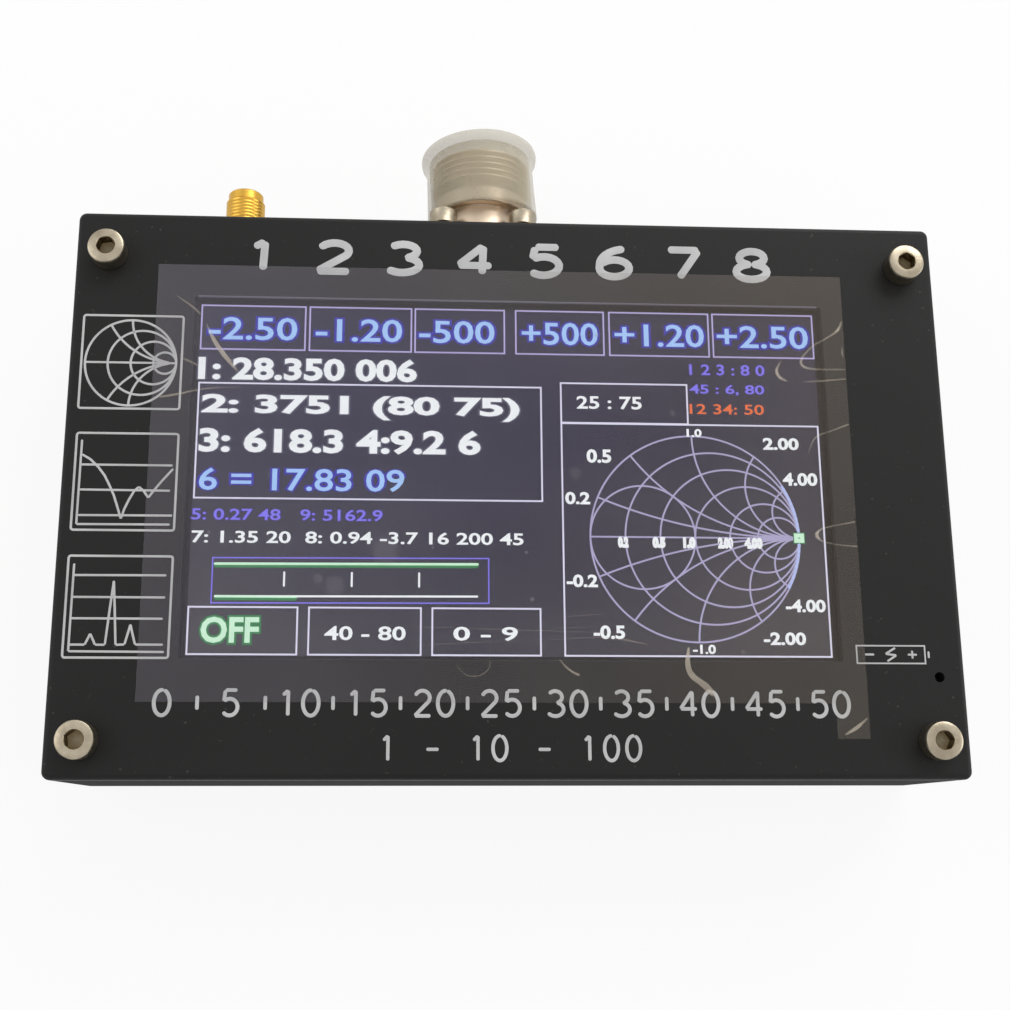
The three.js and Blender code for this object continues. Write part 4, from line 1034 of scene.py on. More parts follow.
bevel_edges(front_plate, window_rim, 0.2 * mm, 2)
lamp_x, lamp_y = 62.55 * mm, -28.2 * mm
for hole_x, hole_y in screw_places:
    cut(front_plate, upright_rod(shank_hole, hole_x, hole_y, *through_plate))
cut(front_plate, upright_rod(lamp_hole, lamp_x, lamp_y, *through_plate, 32))
board_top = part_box("main_board")[1][2]
board_screw_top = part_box("board_screw_1")[1][2]
for boss_x in (-board_boss_x, board_boss_x):
    for boss_y in (board_boss_y, -board_boss_y):
        join(front_plate, upright_rod(board_boss_radius, boss_x, boss_y, board_top, seam_z + boss_grip, 32))
        hole_heights = (board_top - overrun, board_screw_top + shank_gap)
        cut(front_plate, upright_rod(board_boss_hole, boss_x, boss_y, *hole_heights, 24))
hand_in(front_plate, "front_plate", case_paint, "case_black", "front_panel")

# Printing
# White marks printed on the front plate: large and small numbers, three pictures of what the
# screens show, and a battery sign by the lamp. All are thin ink, a little uneven at its edges.
ink, ink_tree, ink_shader = surface("white_ink", Specular_IOR_Level=0.4)
ink_grain = fine_grain(ink_tree, 3600.0, 160.0)
feed(
    ink_shader,
    Base_Color=clouded(ink_grain, linear(176, 176, 176), linear(198, 198, 198), 0.3, 0.7),
    Roughness=gloss(ink_grain, 0.45, 0.6),
    Normal=bump(ink_grain["Grain"], 0.15),
)
ink_heights = (front_z - 0.02 * mm, front_z + 0.03 * mm)

# Each digit as its pen strokes, 0.6 wide and 1 high
pen_digits = {
    "0": [arc_points(0.3, 0.5, 0.27, 0.5, 80, 440, 28)],
    "1": [[(0.14, 0.8), (0.32, 1.0), (0.32, 0.0)]],
    "2": [arc_points(0.3, 0.72, 0.25, 0.28, 165, -35, 12) + [(0.03, 0.0), (0.58, 0.0)]],
    "3": [
        arc_points(0.27, 0.76, 0.24, 0.24, 150, -80, 12) + arc_points(0.27, 0.27, 0.29, 0.27, 80, -150, 14),
    ],
    "4": [[(0.44, 0.0), (0.44, 1.0), (0.02, 0.3), (0.6, 0.3)]],
    "5": [[(0.54, 1.0), (0.13, 1.0), (0.09, 0.56)] + arc_points(0.29, 0.33, 0.27, 0.33, 125, -145, 14)],
    "6": [arc_points(0.52, 0.42, 0.47, 0.57, 95, 170, 8) + arc_points(0.31, 0.3, 0.26, 0.3, 180, 520, 20)],
    "7": [[(0.03, 1.0), (0.57, 1.0), (0.24, 0.0)]],
    "8": [arc_points(0.3, 0.76, 0.22, 0.24, 270, 630, 20), arc_points(0.3, 0.27, 0.27, 0.27, 90, 450, 20)],
    "-": [[(0.06, 0.45), (0.54, 0.45)]],
}


def pen_line(signs, left, bottom, height, pitch, spread, lean=0.0):
    """The strokes of a row of digits, from its lower left corner at one pitch, spread sideways."""
    lines = []
    for place, sign in enumerate(signs):
        start = left + place * pitch
        for stroke in pen_digits.get(sign, []):
            lines.append([(start + (x * spread + lean * y) * height, bottom + y * height) for x, y in stroke])
    return lines


def print_lines(lines, width, name, closed=False):
    return hand_in(strokes(lines, width, ink_heights, closed), name, ink)


title_digits = pen_line("12345678", -41.0 * mm, 33.9 * mm, 4.7 * mm, 10.85 * mm, 1.9, 0.05)
print_lines(title_digits, 1.25 * mm, "title_numbers")
scale_left = -51.4 * mm
scale_low = -34.0 * mm
scale_step = 9.6 * mm
scale_digits = []
for step in range(11):
    number = str(step * 5)
    left = scale_left + step * scale_step - (len(number) - 1) * 1.5 * mm
    scale_digits += pen_line(number, left, scale_low, 3.6 * mm, 3.3 * mm, 1.15)
    if step < 10:
        tick_x = scale_left + 1.4 * mm + (step + 0.5) * scale_step
        scale_digits.append([(tick_x, scale_low + 0.8 * mm), (tick_x, scale_low + 2.8 * mm)])
print_lines(scale_digits, 0.55 * mm, "scale_numbers")
range_digits = pen_line("1 - 10 - 100", -19.3 * mm, -40.3 * mm, 3.5 * mm, 3.2 * mm, 1.05)
print_lines(range_digits, 0.5 * mm, "range_numbers")

icon_line = 0.34 * mm


def in_mm(points):
    """Points given in millimetres, as metres."""
    return [(first * mm, second * mm) for first, second in points]


def icon_frame(left, bottom, right, top):
    """A frame with its corners a little rounded."""
    corner = 0.35
    middles = (
        (right - corner, top - corner), (left + corner, top - corner),
        (left + corner, bottom + corner), (right - corner, bottom + corner),
    )
    points = []
    for quarter, middle in enumerate(middles):
        points += arc_points(*middle, corner, corner, quarter * 90, quarter * 90 + 90, 4)
    return in_mm(points)


icon_boxes = [(-64.6, 11.35, -49.75, 26.05), (-64.5, -7.2, -49.65, 7.5), (-64.5, -25.85, -49.6, -11.05)]
print_lines([icon_frame(*box) for box in icon_boxes], icon_line, "icon_frames", closed=True)

# First picture: an impedance chart
icon_middle = (-57.3, 18.57)
icon_radius = 6.75


def icon_point(real, imaginary):
    return (icon_middle[0] + icon_radius * real) * mm, (icon_middle[1] + icon_radius * imaginary) * mm


icon_rings = []
for resistance in (0, 0.33, 1, 3):
    share = 1 / (resistance + 1)
    ring = arc_points(resistance * share, 0, share, share, 0, 356, 70)
    icon_rings.append([icon_point(*point) for point in ring])
print_lines(icon_rings, icon_line, "icon_chart_rings", closed=True)
icon_arcs = [[icon_point(-1, 0), icon_point(1, 0)]]
for reactance in (0.6, 1, -0.6, -1):
    resistances = [(step / 24) ** 2 * 12 for step in range(25)]
    icon_arcs.append([icon_point(*reflection(r, reactance)) for r in resistances])
print_lines(icon_arcs, icon_line, "icon_chart_arcs")

# Second picture: a sweep with one deep dip. Third picture: a spectrum with a few peaks
sweep = [
    (-63.55, 4.2), (-62.3, 3.45), (-61.1, 2.3), (-60.1, 1.0), (-59.25, -0.6), (-58.6, -2.0),
    (-57.95, -3.85), (-57.4, -5.5), (-56.95, -3.95), (-56.4, -2.65), (-55.7, -1.3), (-55.05, -0.65),
    (-54.35, -1.25), (-53.6, -2.3), (-52.9, -1.25), (-51.85, 0.15), (-50.2, 2.15),
]
graph_lines = [
    [(-63.7, 6.45), (-63.75, -6.35), (-50.3, -6.3)],
    sweep,
    [(-63.6, 2.65), (-50.3, 2.65)],
    [(-63.6, -1.15), (-50.5, -1.2)],
    [(-63.6, -5.0), (-50.0, -4.95)],
    [(-63.65, -12.2), (-63.7, -24.95), (-50.2, -25.0)],
    [(-63.6, -13.9), (-50.4, -13.85)],
    [(-63.6, -17.1), (-50.4, -17.1)],
    [(-63.6, -20.2), (-50.6, -20.2)],
    [
        (-63.6, -24.0), (-61.45, -24.0), (-61.15, -23.35), (-60.75, -22.4), (-60.2, -23.55), (-60.0, -24.0),
        (-58.6, -24.0), (-58.2, -18.8), (-57.85, -14.7), (-57.5, -18.8), (-57.1, -24.0), (-55.85, -23.95),
        (-55.5, -22.55), (-55.15, -21.05), (-54.75, -22.55), (-54.35, -23.95), (-50.4, -23.95),
    ],
]
print_lines([in_mm(line) for line in graph_lines], icon_line, "icon_graphs")

# Battery sign with a bolt, beside the charging lamp
sign_line = 0.32 * mm
sign_outline = [(50.4, -26.2), (60.6, -26.2), (60.6, -23.6), (50.4, -23.6)]
sign_marks = [
    [(61.15, -25.4), (61.15, -24.4)],
    [(56.2, -23.9), (54.7, -24.8), (56.3, -25.0), (54.9, -25.9)],
    [(51.6, -24.9), (53.0, -24.9)],
    [(58.0, -24.9), (59.4, -24.9)],
    [(58.7, -25.5), (58.7, -24.3)],
]
print_lines([in_mm(sign_outline)], sign_line, "battery_outline", closed=True)
print_lines([in_mm(mark) for mark in sign_marks], sign_line, "battery_bolt")

# Charging lamp
# A 3 mm round lamp of clear resin with a domed top, on two wire legs, right behind its hole.
lamp_low, lamp_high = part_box("charging_lamp")


def turned(outline, place, direction, sides=round_sides):
    """A shape spun from an outline of (radius, height) pairs, stood on a place along a direction."""
    bpy.ops.object.select_all(action="DESELECT")
    bpy.ops.mesh.primitive_plane_add(size=mm)
    piece = bpy.context.active_object
    bpy.ops.object.mode_set(mode="EDIT")
    bpy.ops.mesh.select_all(action="SELECT")
    bpy.ops.mesh.merge(type="CENTER")
    bpy.ops.mesh.select_all(action="SELECT")
    bpy.ops.transform.translate(value=(outline[0][0], 0, outline[0][1]))
    for (radius, height), (next_radius, next_height) in zip(outline, outline[1:]):
        step = (next_radius - radius, 0, next_height - height)
        bpy.ops.mesh.extrude_vertices_move(TRANSFORM_OT_translate={"value": step})
    bpy.ops.mesh.select_all(action="SELECT")
    bpy.ops.mesh.spin(steps=sides, angle=math.tau, center=(0, 0, 0), axis=(0, 0, 1))
    bpy.ops.mesh.select_all(action="SELECT")
    bpy.ops.mesh.remove_doubles(threshold=0.002 * mm)
    bpy.ops.mesh.select_all(action="SELECT")
    bpy.ops.mesh.normals_make_consistent(inside=False)
    bpy.ops.object.mode_set(mode="OBJECT")
    piece.rotation_euler = Vector(direction).to_track_quat("Z", "X").to_euler()
    piece.location = place
    make_active(piece)
    bpy.ops.object.transform_apply()
    return piece


lamp_outline = [(0, -3.2), (1.4, -3.2), *arc_points(0, -1.2, 1.4, 1.2, 0, 75, 5), (0, 0)]
lamp = turned(in_mm(lamp_outline), (lamp_x, lamp_y, lamp_high[2]), (0, 0, 1), 32)
leg_offset = 0.6 * mm
leg_radius = 0.22 * mm
for leg_x in (lamp_x - leg_offset, lamp_x + leg_offset):
    join(lamp, upright_rod(leg_radius, leg_x, lamp_y, lamp_low[2], lamp_high[2] - 2 * mm, 12))
lamp_clear = grained(
    "lamp_clear", (0.62, 0.66, 0.62), (0.72, 0.75, 0.72), (0.1, 0.2), 1500.0, 200.0, 0.05, Coat_Weight=0.4
)
hand_in(lamp, "lamp", lamp_clear, "lamp_clear", "charging_lamp")

# Cap screws
# Nickel-plated steel screws with a hexagon socket: four M3 hold the front, four M2.5 the large
# socket, four the main board and two the charging board. Heads are knurled, threads rolled.
screw_sides = 72
thread_share = 0.12
knurl_depth = 0.045 * mm


def cap_screw(head_radius, head_height, hex_across, hex_depth, shank_radius, shank_length, pitch):
    """A socket cap screw on the origin, head up, with its threaded shank below."""
    root = shank_radius * (1 - thread_share)
    outline = [(0, -shank_length), (root, -shank_length)]
    turns = int((shank_length - 0.6 * mm) / pitch)
    start = -shank_length + 0.2 * mm
    for turn in range(turns):
        low = start + turn * pitch
        outline += [(root, low), (shank_radius, low + pitch * 0.45), (shank_radius, low + pitch * 0.55)]
    edge = head_radius * 0.13
    foot = head_radius * 0.05
    outline += [
        (root, start + turns * pitch), (shank_radius, -0.15 * mm), (shank_radius, 0),
        (head_radius - foot, 0), (head_radius, foot), (head_radius, foot * 2),
        (head_radius, head_height - edge * 1.5), (head_radius, head_height - edge),
        (head_radius - edge * 0.3, head_height - edge * 0.3), (head_radius - edge, head_height),
        (0, head_height),
    ]
    screw = turned(outline, (0, 0, 0), (0, 0, 1), screw_sides)
    knurl_top = head_height - edge * 1.5

    def every_other_column(point):
        x, y, z = point.co
        ring = close_to(z, foot * 2, foot * 0.5) or close_to(z, knurl_top, edge * 0.2)
        column = round(math.atan2(y, x) / math.tau * screw_sides)
        return ring and column % 2 == 0 and math.hypot(x, y) > head_radius * 0.9

    pick(screw, "VERT", every_other_column)
    knurl = 1 - knurl_depth / head_radius
    bpy.ops.transform.resize(value=(knurl, knurl, 1), center_override=(0, 0, 0))
    bpy.ops.object.mode_set(mode="OBJECT")
    hex_radius = hex_across / math.sqrt(3)
    floor_z = head_height - hex_depth
    above = head_height + mm
    hex_outline = [(0, floor_z - hex_radius * 0.3), (hex_radius, floor_z), (hex_radius, above), (0, above)]
    hex_tool = turned(hex_outline, (0, 0, 0), (0, 0, 1), 6)
    mouth = hex_radius * 0.04
    mouth_outline = [
        (0, head_height - mouth), (hex_radius - mouth * 1.2, head_height - mouth),
        (hex_radius + mouth * 0.8, head_height + mouth), (0, head_height + mouth),
    ]
    mouth_tool = turned(mouth_outline, (0, 0, 0), (0, 0, 1), 36)
    cut(screw, hex_tool, mouth_tool)
    # Painted shade in the hexagon socket: its walls darkened fully, its floor less
    recess_shade = screw.data.attributes.new("recess_shade", "FLOAT", "POINT")
    for point in screw.data.vertices:
        from_axis = math.hypot(point.co.x, point.co.y)
        inside = from_axis < hex_radius * 1.02 and point.co.z < head_height - mouth / 2
        recess_shade.data[point.index].value = (1.0 if from_axis > hex_radius / 2 else 0.6) if inside else 0.0
    return screw


def place_copy(model, place, direction=(0, 0, 1), turn=0.0):
    """A copy of a piece with its own mesh, turned about its own axis and then stood on a place."""
    copied = model.copy()
    copied.data = model.data.copy()
    bpy.context.scene.collection.objects.link(copied)
    make_active(copied)
    copied.rotation_euler = (0, 0, math.radians(turn))
    bpy.ops.object.transform_apply(location=False, rotation=True, scale=False)
    copied.rotation_euler = Vector(direction).to_track_quat("Z", "X").to_euler()
    copied.location = place
    bpy.ops.object.transform_apply()
    return copied


screw_nickel, screw_tree, screw_shader = surface("screw_nickel", Metallic=1.0)
screw_grain = fine_grain(screw_tree, 2600.0, 420.0)
screw_plated = clouded(screw_grain, (0.31, 0.265, 0.195, 1), (0.42, 0.37, 0.28, 1))
# The socket's inside is painted dark brown: painted shade
screw_recess_shade = add_node(screw_tree, "ShaderNodeAttribute")
screw_recess_shade.attribute_name = "recess_shade"
feed(
    screw_shader,
    Base_Color=blend_colours(screw_recess_shade.outputs["Fac"], screw_plated, (0.11, 0.08, 0.04, 1)),
    Roughness=gloss(screw_grain, 0.27, 0.37),
    Normal=bump(screw_grain["Grain"], 0.2),
)
panel_screw = cap_screw(2.75 * mm, 3 * mm, 2.5 * mm, 1.9 * mm, 1.5 * mm, 9 * mm, 0.5 * mm)
for number, ((x, y), turn) in enumerate(zip(screw_places, (10, 24, 38, 4)), start=1):
    screw = place_copy(panel_screw, (x, y, front_z), turn=turn)
    hand_in(screw, f"front_screw_{number}", screw_nickel, "screw_nickel", f"panel_screw_{number}")
bpy.data.objects.remove(panel_screw)
flange_screw = cap_screw(2.25 * mm, 2.5 * mm, 2 * mm, 1.2 * mm, 1.25 * mm, 7 * mm, 0.45 * mm)
flange_face_y = 45 * mm
for number, ((x, z), turn) in enumerate(zip(flange_screw_places, (5, 33, 20, 48)), start=1):
    screw = place_copy(flange_screw, (x, flange_face_y, z), (0, 1, 0), turn)
    hand_in(screw, f"socket_screw_{number}", screw_nickel, "screw_nickel", f"flange_screw_{number}")
bpy.data.objects.remove(flange_screw)
dress(screw_nickel, *(f"board_screw_{number}" for number in range(1, 5)), "charge_screw_1", "charge_screw_2")

# Large socket
# A coaxial socket turned from brass and nickel plated: a square flange on the end wall, a neck,
# a collar, an outer thread that the plug's ring screws on, and a white insulator in its mouth.
socket_nickel = grained(
    "socket_nickel", (0.60, 0.48, 0.365), (0.66, 0.54, 0.415), (0.31, 0.35), 1800.0, 160.0, 0.04, Metallic=1.0
)
socket_gold = grained(
    "socket_gold", (0.58, 0.33, 0.045), (0.64, 0.38, 0.07), (0.29, 0.33), 1800.0, 160.0, 0.04, Metallic=1.0
)
contact_gold = grained(
    "contact_gold", (0.78, 0.5, 0.14), (0.86, 0.6, 0.2), (0.18, 0.28), 1800.0, 160.0, 0.04, Metallic=1.0
)
insulator_white = grained(
    "insulator_white", (0.76, 0.76, 0.74), (0.84, 0.84, 0.82), (0.35, 0.5), 2200.0, 200.0, 0.08
)
end_y = 43 * mm
large_origin = (large_socket_x, end_y, socket_axis_z)
along_y = (0, 1, 0)
thread_start = 10.1
thread_pitch = 1.06
large_outline = [(4.1, -5), (4.9, -5), (4.9, 1), (6, 1), (6, 6), (6.15, 6.2), (7.45, 6.2), (7.6, 6.35)]
large_outline += [(7.6, 8.65), (7.45, 8.8), (6.3, 8.8), (6.3, thread_start)]
for turn in range(5):
    low = thread_start + turn * thread_pitch
    large_outline += [(7.35, low), (7.9, low + thread_pitch * 0.4), (7.9, low + thread_pitch * 0.6)]
large_outline += [(7.35, 15.4), (4.7, 15.4), (4.1, 14.8), (4.1, -5)]
large_body = turned(in_mm(large_outline), large_origin, along_y, 96)
flange_half = 8.75 * mm
flange_clearance = 1.35 * mm
flange_bore = 5.4 * mm
flange = add_box(
    (large_socket_x - flange_half, end_y, socket_axis_z - flange_half),
    (large_socket_x + flange_half, flange_face_y, socket_axis_z + flange_half),
)


def at_face_y(height):
    return lambda first, second: close_to(first.y, height) and close_to(second.y, height)


bevel_edges(flange, every_edge, 0.9 * mm, 5)
bevel_edges(flange, at_face_y(flange_face_y), 0.2 * mm, 2)
through_flange = (end_y - mm, flange_face_y + mm)
for hole_x, hole_z in flange_screw_places:
    cut(flange, level_rod(flange_clearance, hole_x, hole_z, *through_flange, 24))
cut(flange, level_rod(flange_bore, large_socket_x, socket_axis_z, *through_flange))
join(large_body, flange)
hand_in(large_body, "large_socket", socket_nickel, "socket_nickel", "large_socket_body")
insulator_outline = [(1.55, -5), (4.05, -5), (4.05, 6.5), (3.8, 6.8), (2.3, 6.8), (2.1, 6.5), (1.55, 6.5)]
large_insulator = turned(in_mm(insulator_outline + insulator_outline[:1]), large_origin, along_y)
hand_in(large_insulator, "large_insulator", insulator_white, "insulator_white", "large_socket_insulator")
contact_outline = [
    (0, -7.6), (1.5, -7.6), (1.5, 12.9), (1.3, 13.2), (0.95, 13.2), (0.85, 13.05), (0.85, 9.2), (0, 9.0),
]
large_contact = turned(in_mm(contact_outline), large_origin, along_y, 32)
slit_half = 0.12 * mm
slit_reach = 2 * mm
for slit_x, slit_z in ((slit_reach, slit_half), (slit_half, slit_reach)):
    slit_low = (large_socket_x - slit_x, end_y + 9.6 * mm, socket_axis_z - slit_z)
    slit_high = (large_socket_x + slit_x, end_y + 14 * mm, socket_axis_z + slit_z)
    cut(large_contact, add_box(slit_low, slit_high))
hand_in(large_contact, "large_contact", contact_gold, "contact_gold", "large_socket_contact")

# Small socket
# A gold-plated coaxial socket put through the wall from inside, with a washer and a hexagon nut
# outside, a fine thread, a plain tip and a white insulator round its contact.
small_origin = (small_socket_x, end_y, socket_axis_z)
rear_reach = (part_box("small_socket_body")[0][1] - end_y) / mm
small_outline = [(2.05, rear_reach), (2.9, rear_reach), (2.9, -4.5), (3.175, -4.5), (3.175, 2.9), (2.95, 3.1)]
for turn in range(9):
    low = 3.1 + turn * 0.58
    small_outline += [(3.04, low), (3.15, low + 0.22), (3.15, low + 0.38)]
small_outline += [
    (3.0, 8.32), (2.84, 8.4), (2.84, 9.6), (2.6, 9.88), (2.45, 9.9), (2.15, 9.9), (2.05, 9.8),
    (2.05, rear_reach),
]
small_body = turned(in_mm(small_outline), small_origin, along_y, 64)
nut_radius = 8 / math.sqrt(3)


def hex_ring(inner, low, high):
    """A hexagonal ring round the small socket's axis, in millimetres."""
    ring = [(inner, low), (nut_radius, low), (nut_radius, high), (inner, high), (inner, low)]
    return turned(in_mm(ring), small_origin, along_y, 6)


join(small_body, hex_ring(2.4, -4, -2))
hand_in(small_body, "small_socket", socket_gold, "socket_gold", "small_socket_body")
nut = hex_ring(3.2, 0.6, 2.7)
nut_cone = turned(
    in_mm([(3.9, 3.2), (3.9, 2.71), (4.05, 2.7), (4.75, 2.3), (4.75, 0.5), (6, 0.5), (6, 3.2), (3.9, 3.2)]),
    small_origin, along_y,
)
cut(nut, nut_cone)
hand_in(nut, "small_nut", socket_gold, "socket_gold", "small_socket_nut")
washer_outline = [(3.25, 0), (4.6, 0), (4.7, 0.1), (4.7, 0.5), (4.6, 0.6), (3.25, 0.6), (3.25, 0)]
washer = turned(in_mm(washer_outline), small_origin, along_y)
hand_in(washer, "small_washer", socket_gold, "socket_gold", "small_socket_washer")
sleeve_outline = [
    (0.66, rear_reach), (2.0, rear_reach), (2.0, 9.3), (1.9, 9.4), (0.66, 9.4), (0.66, rear_reach),
]
small_insulator = turned(in_mm(sleeve_outline), small_origin, along_y, 32)
hand_in(small_insulator, "small_insulator", insulator_white, "insulator_white", "small_socket_insulator")
pin_outline = [
    (0, rear_reach), (0.63, rear_reach), (0.63, 9.3), (0.55, 9.4), (0.4, 9.4), (0.35, 9.3), (0.35, 7.4),
    (0, 7.3),
]
small_contact = turned(in_mm(pin_outline), small_origin, along_y, 24)
hand_in(small_contact, "small_contact", contact_gold, "contact_gold", "small_socket_contact")

# Dust cap
# A soft, milky polyethylene cup pushed over the large socket's thread, a little askew, with a
# thick lip round its closed end. The thread shows through it.
cap_length = 12.3
cap_inner = 8.35
cap_start = 5.8
cap_outline = [
    (cap_inner, 0), (8.95, 0), (9.1, 0.2), (9.05, 1.5), (8.92, 5), (8.85, 8.6), (8.95, 9.3), (9.25, 9.9),
    (9.5, 10.4), (9.6, 10.9), (9.6, 11.3), (9.45, 11.8), (9.1, 12.15), (8.5, 12.3), (6, 12.22), (0, 12.18),
    (0, 10.9), (8.0, 10.9), (cap_inner, 10.5), (cap_inner, 0),
]
centred_outline = [(radius, height - cap_length / 2) for radius, height in cap_outline]
cap = turned(in_mm(centred_outline), (0, 0, 0), along_y, 96)
make_active(cap)
cap.rotation_euler = (0, 0, math.radians(3))
cap.location = (large_socket_x, end_y + (cap_start + cap_length / 2) * mm, socket_axis_z)
bpy.ops.object.transform_apply()
cap_plastic, cap_tree, cap_shader = surface("cap_plastic", Specular_IOR_Level=0.3)
cap_grain = fine_grain(cap_tree, 1400.0, 150.0)
feed(
    cap_shader,
    Base_Color=clouded(cap_grain, linear(196, 186, 160), linear(204, 196, 172), 0.3, 0.7),
    Roughness=gloss(cap_grain, 0.4, 0.5),
    Alpha=span(cap_grain["Patches"], 0.3, 0.7, 0.37, 0.4),
    Normal=bump(cap_grain["Patches"], 0.03),
)
hand_in(cap, "cap", cap_plastic, "cap_plastic", "dust_cap", body="cap")

# Ports and card
# Two micro sockets folded from tinned steel, and a memory card with a finger ridge and eight gold
# pads on its underside. The card stands half a millimetre out of the left wall.
port_steel, port_tree, port_shader = surface("port_steel")
port_place = object_axes(port_tree)
port_grain = fine_grain(port_tree, 2000.0, 180.0)
tongue_half_width = 2.1 * mm
tongue_half_height = 0.4 * mm


def tongue_mask(place_y, place_z):
    """1 inside the black tongue of a port."""
    across = within(port_place["Y"], place_y, tongue_half_width)
    return overlap(across, within(port_place["Z"], place_z, tongue_half_height))


tongue = math_node("MAXIMUM", tongue_mask(*data_port_place), tongue_mask(*charge_port_place))
steel_colour = clouded(port_grain, (0.5, 0.5, 0.5, 1), (0.62, 0.62, 0.62, 1))
feed(
    port_shader,
    Base_Color=blend_colours(tongue, steel_colour, (0.012, 0.012, 0.013, 1)),
    Metallic=math_node("SUBTRACT", 1.0, tongue),
    Roughness=gloss(port_grain, 0.25, 0.4),
)
dress(port_steel, "data_port", "charge_port")

card_low, card_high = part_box("memory_card")
card = add_box(card_low, card_high)


def cut_corner(first, second):
    return upright(first, second) and close_to(first.x, card_high[0]) and close_to(first.y, card_high[1])


bevel_edges(card, cut_corner, 1.4 * mm, 1)
bevel_edges(card, upright, 0.15 * mm, 2)
for height in (card_high[2], card_low[2]):
    bevel_edges(card, level_at(height), 0.08 * mm, 2)
card_middle_y = (card_low[1] + card_high[1]) / 2
groove_half = 3.5 * mm
groove_width = 0.22 * mm
groove_depth = 0.1 * mm
for groove in range(3):
    groove_x = card_low[0] + (0.7 + groove * 0.5) * mm
    groove_low = (groove_x, card_middle_y - groove_half, card_high[2] - groove_depth)
    groove_high = (groove_x + groove_width, card_middle_y + groove_half, card_high[2] + mm)
    cut(card, add_box(groove_low, groove_high))
card_black, card_tree, card_shader = surface("card_black", Specular_IOR_Level=0.4)
card_place = object_axes(card_tree)
card_grain = fine_grain(card_tree, 3000.0, 200.0)
gold_pad_pitch = 1.1 * mm
gold_pad_half = 1.4 * mm
pad_along = within(card_place["X"], card_high[0] - 2.2 * mm, gold_pad_half)
pad_below = math_node("LESS_THAN", card_place["Z"], card_low[2] + 0.05 * mm)
pad_across = math_node("SUBTRACT", card_place["Y"], card_low[1] + 0.9 * mm)
pad_repeat = math_node("FRACT", math_node("DIVIDE", pad_across, gold_pad_pitch))
pad_stripe = math_node("LESS_THAN", pad_repeat, 0.72)
pads = overlap(pad_along, pad_below, pad_stripe)
card_dark = clouded(card_grain, (0.012, 0.012, 0.013, 1), (0.02, 0.02, 0.021, 1))
feed(
    card_shader,
    Base_Color=blend_colours(pads, card_dark, (0.78, 0.52, 0.16, 1)),
    Metallic=pads,
    Roughness=gloss(card_grain, 0.4, 0.55),
)
hand_in(card, "card", card_black, "card_black", "memory_card", body="card")

# Switch lever
# A small black plastic lever with three ribs for the fingernail. It slides along the right wall.
lever_low, lever_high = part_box("switch_lever")
lever = add_box(lever_low, lever_high)
bevel_edges(lever, every_edge, 0.15 * mm, 2)
rib_pitch = 0.55 * mm
rib_half = 0.12 * mm
rib_depth = 0.14 * mm
rib_reach = 1.3 * mm
lever_middle_y = (lever_low[1] + lever_high[1]) / 2
for rib in (-1, 0, 1):
    rib_y = lever_middle_y + rib * rib_pitch
    rib_end = (lever_high[0] + mm, rib_y + rib_half, lever_high[2] + mm)
    cut(
        lever,
        add_box((lever_high[0] - rib_reach, rib_y - rib_half, lever_high[2] - rib_depth), rib_end),
        add_box((lever_high[0] - rib_depth, rib_y - rib_half, lever_low[2] - mm), rib_end),
    )
lever_black = grained(
    "lever_black", (0.012, 0.012, 0.012), (0.022, 0.022, 0.022), (0.4, 0.55), 2600.0, 200.0, 0.15
)
hand_in(lever, "lever", lever_black, "lever_black", "switch_lever", body="lever")

# Protective film
# A thin clear sheet stuck over the window, as delivered, with a pull tab at its lower right. It is
# slightly hazy, with soft round spots where air is caught under it. The haze grows toward the top
# and both sides and turns warmer toward the right: a painted reflection.
film_low, film_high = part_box("protective_film")
tab_left = 46.85 * mm
sheet_low_y = -32.1 * mm
film_columns = 132
film_rows = 90
film_lift = 0.06 * mm
film_thickness = 0.05 * mm
film_top = 26.1 * mm
bpy.ops.object.select_all(action="DESELECT")
bpy.ops.mesh.primitive_grid_add(
    x_subdivisions=film_columns, y_subdivisions=film_rows, size=1,
    location=((film_low[0] + film_high[0]) / 2, (film_low[1] + film_high[1]) / 2, film_low[2] + film_lift),
)
film = bpy.context.active_object
film.scale = (film_high[0] - film_low[0], film_high[1] - film_low[1], 1)
bpy.ops.object.transform_apply()
cell_height = (film_high[1] - film_low[1]) / film_rows
pick(film, "VERT", lambda point: close_to(point.co.y, sheet_low_y, cell_height / 2))
bpy.ops.transform.resize(value=(1, 0, 1), center_override=(0, sheet_low_y, 0))
bpy.ops.object.mode_set(mode="OBJECT")
pick(film, "FACE", lambda face: face.center.y < sheet_low_y and face.center.x < tab_left)
bpy.ops.mesh.delete(type="FACE")
bpy.ops.object.mode_set(mode="OBJECT")
for point in film.data.vertices:
    wave = math.sin(point.co.x * 210) * math.sin(point.co.y * 260 + point.co.x * 90)
    point.co.z += wave * 0.01 * mm
make_active(film)
thickness = film.modifiers.new("thickness", "SOLIDIFY")
thickness.thickness = film_thickness
thickness.offset = 1
bpy.ops.object.modifier_apply(modifier="thickness")
film_clear, film_tree, film_shader = surface("film_clear", Specular_IOR_Level=0.5)
film_grain = fine_grain(film_tree, 500.0, 26.0)
film_patches = span(film_grain["Patches"], 0.4, 0.6)
film_object = object_place(film_tree)
film_place = object_axes(film_tree)
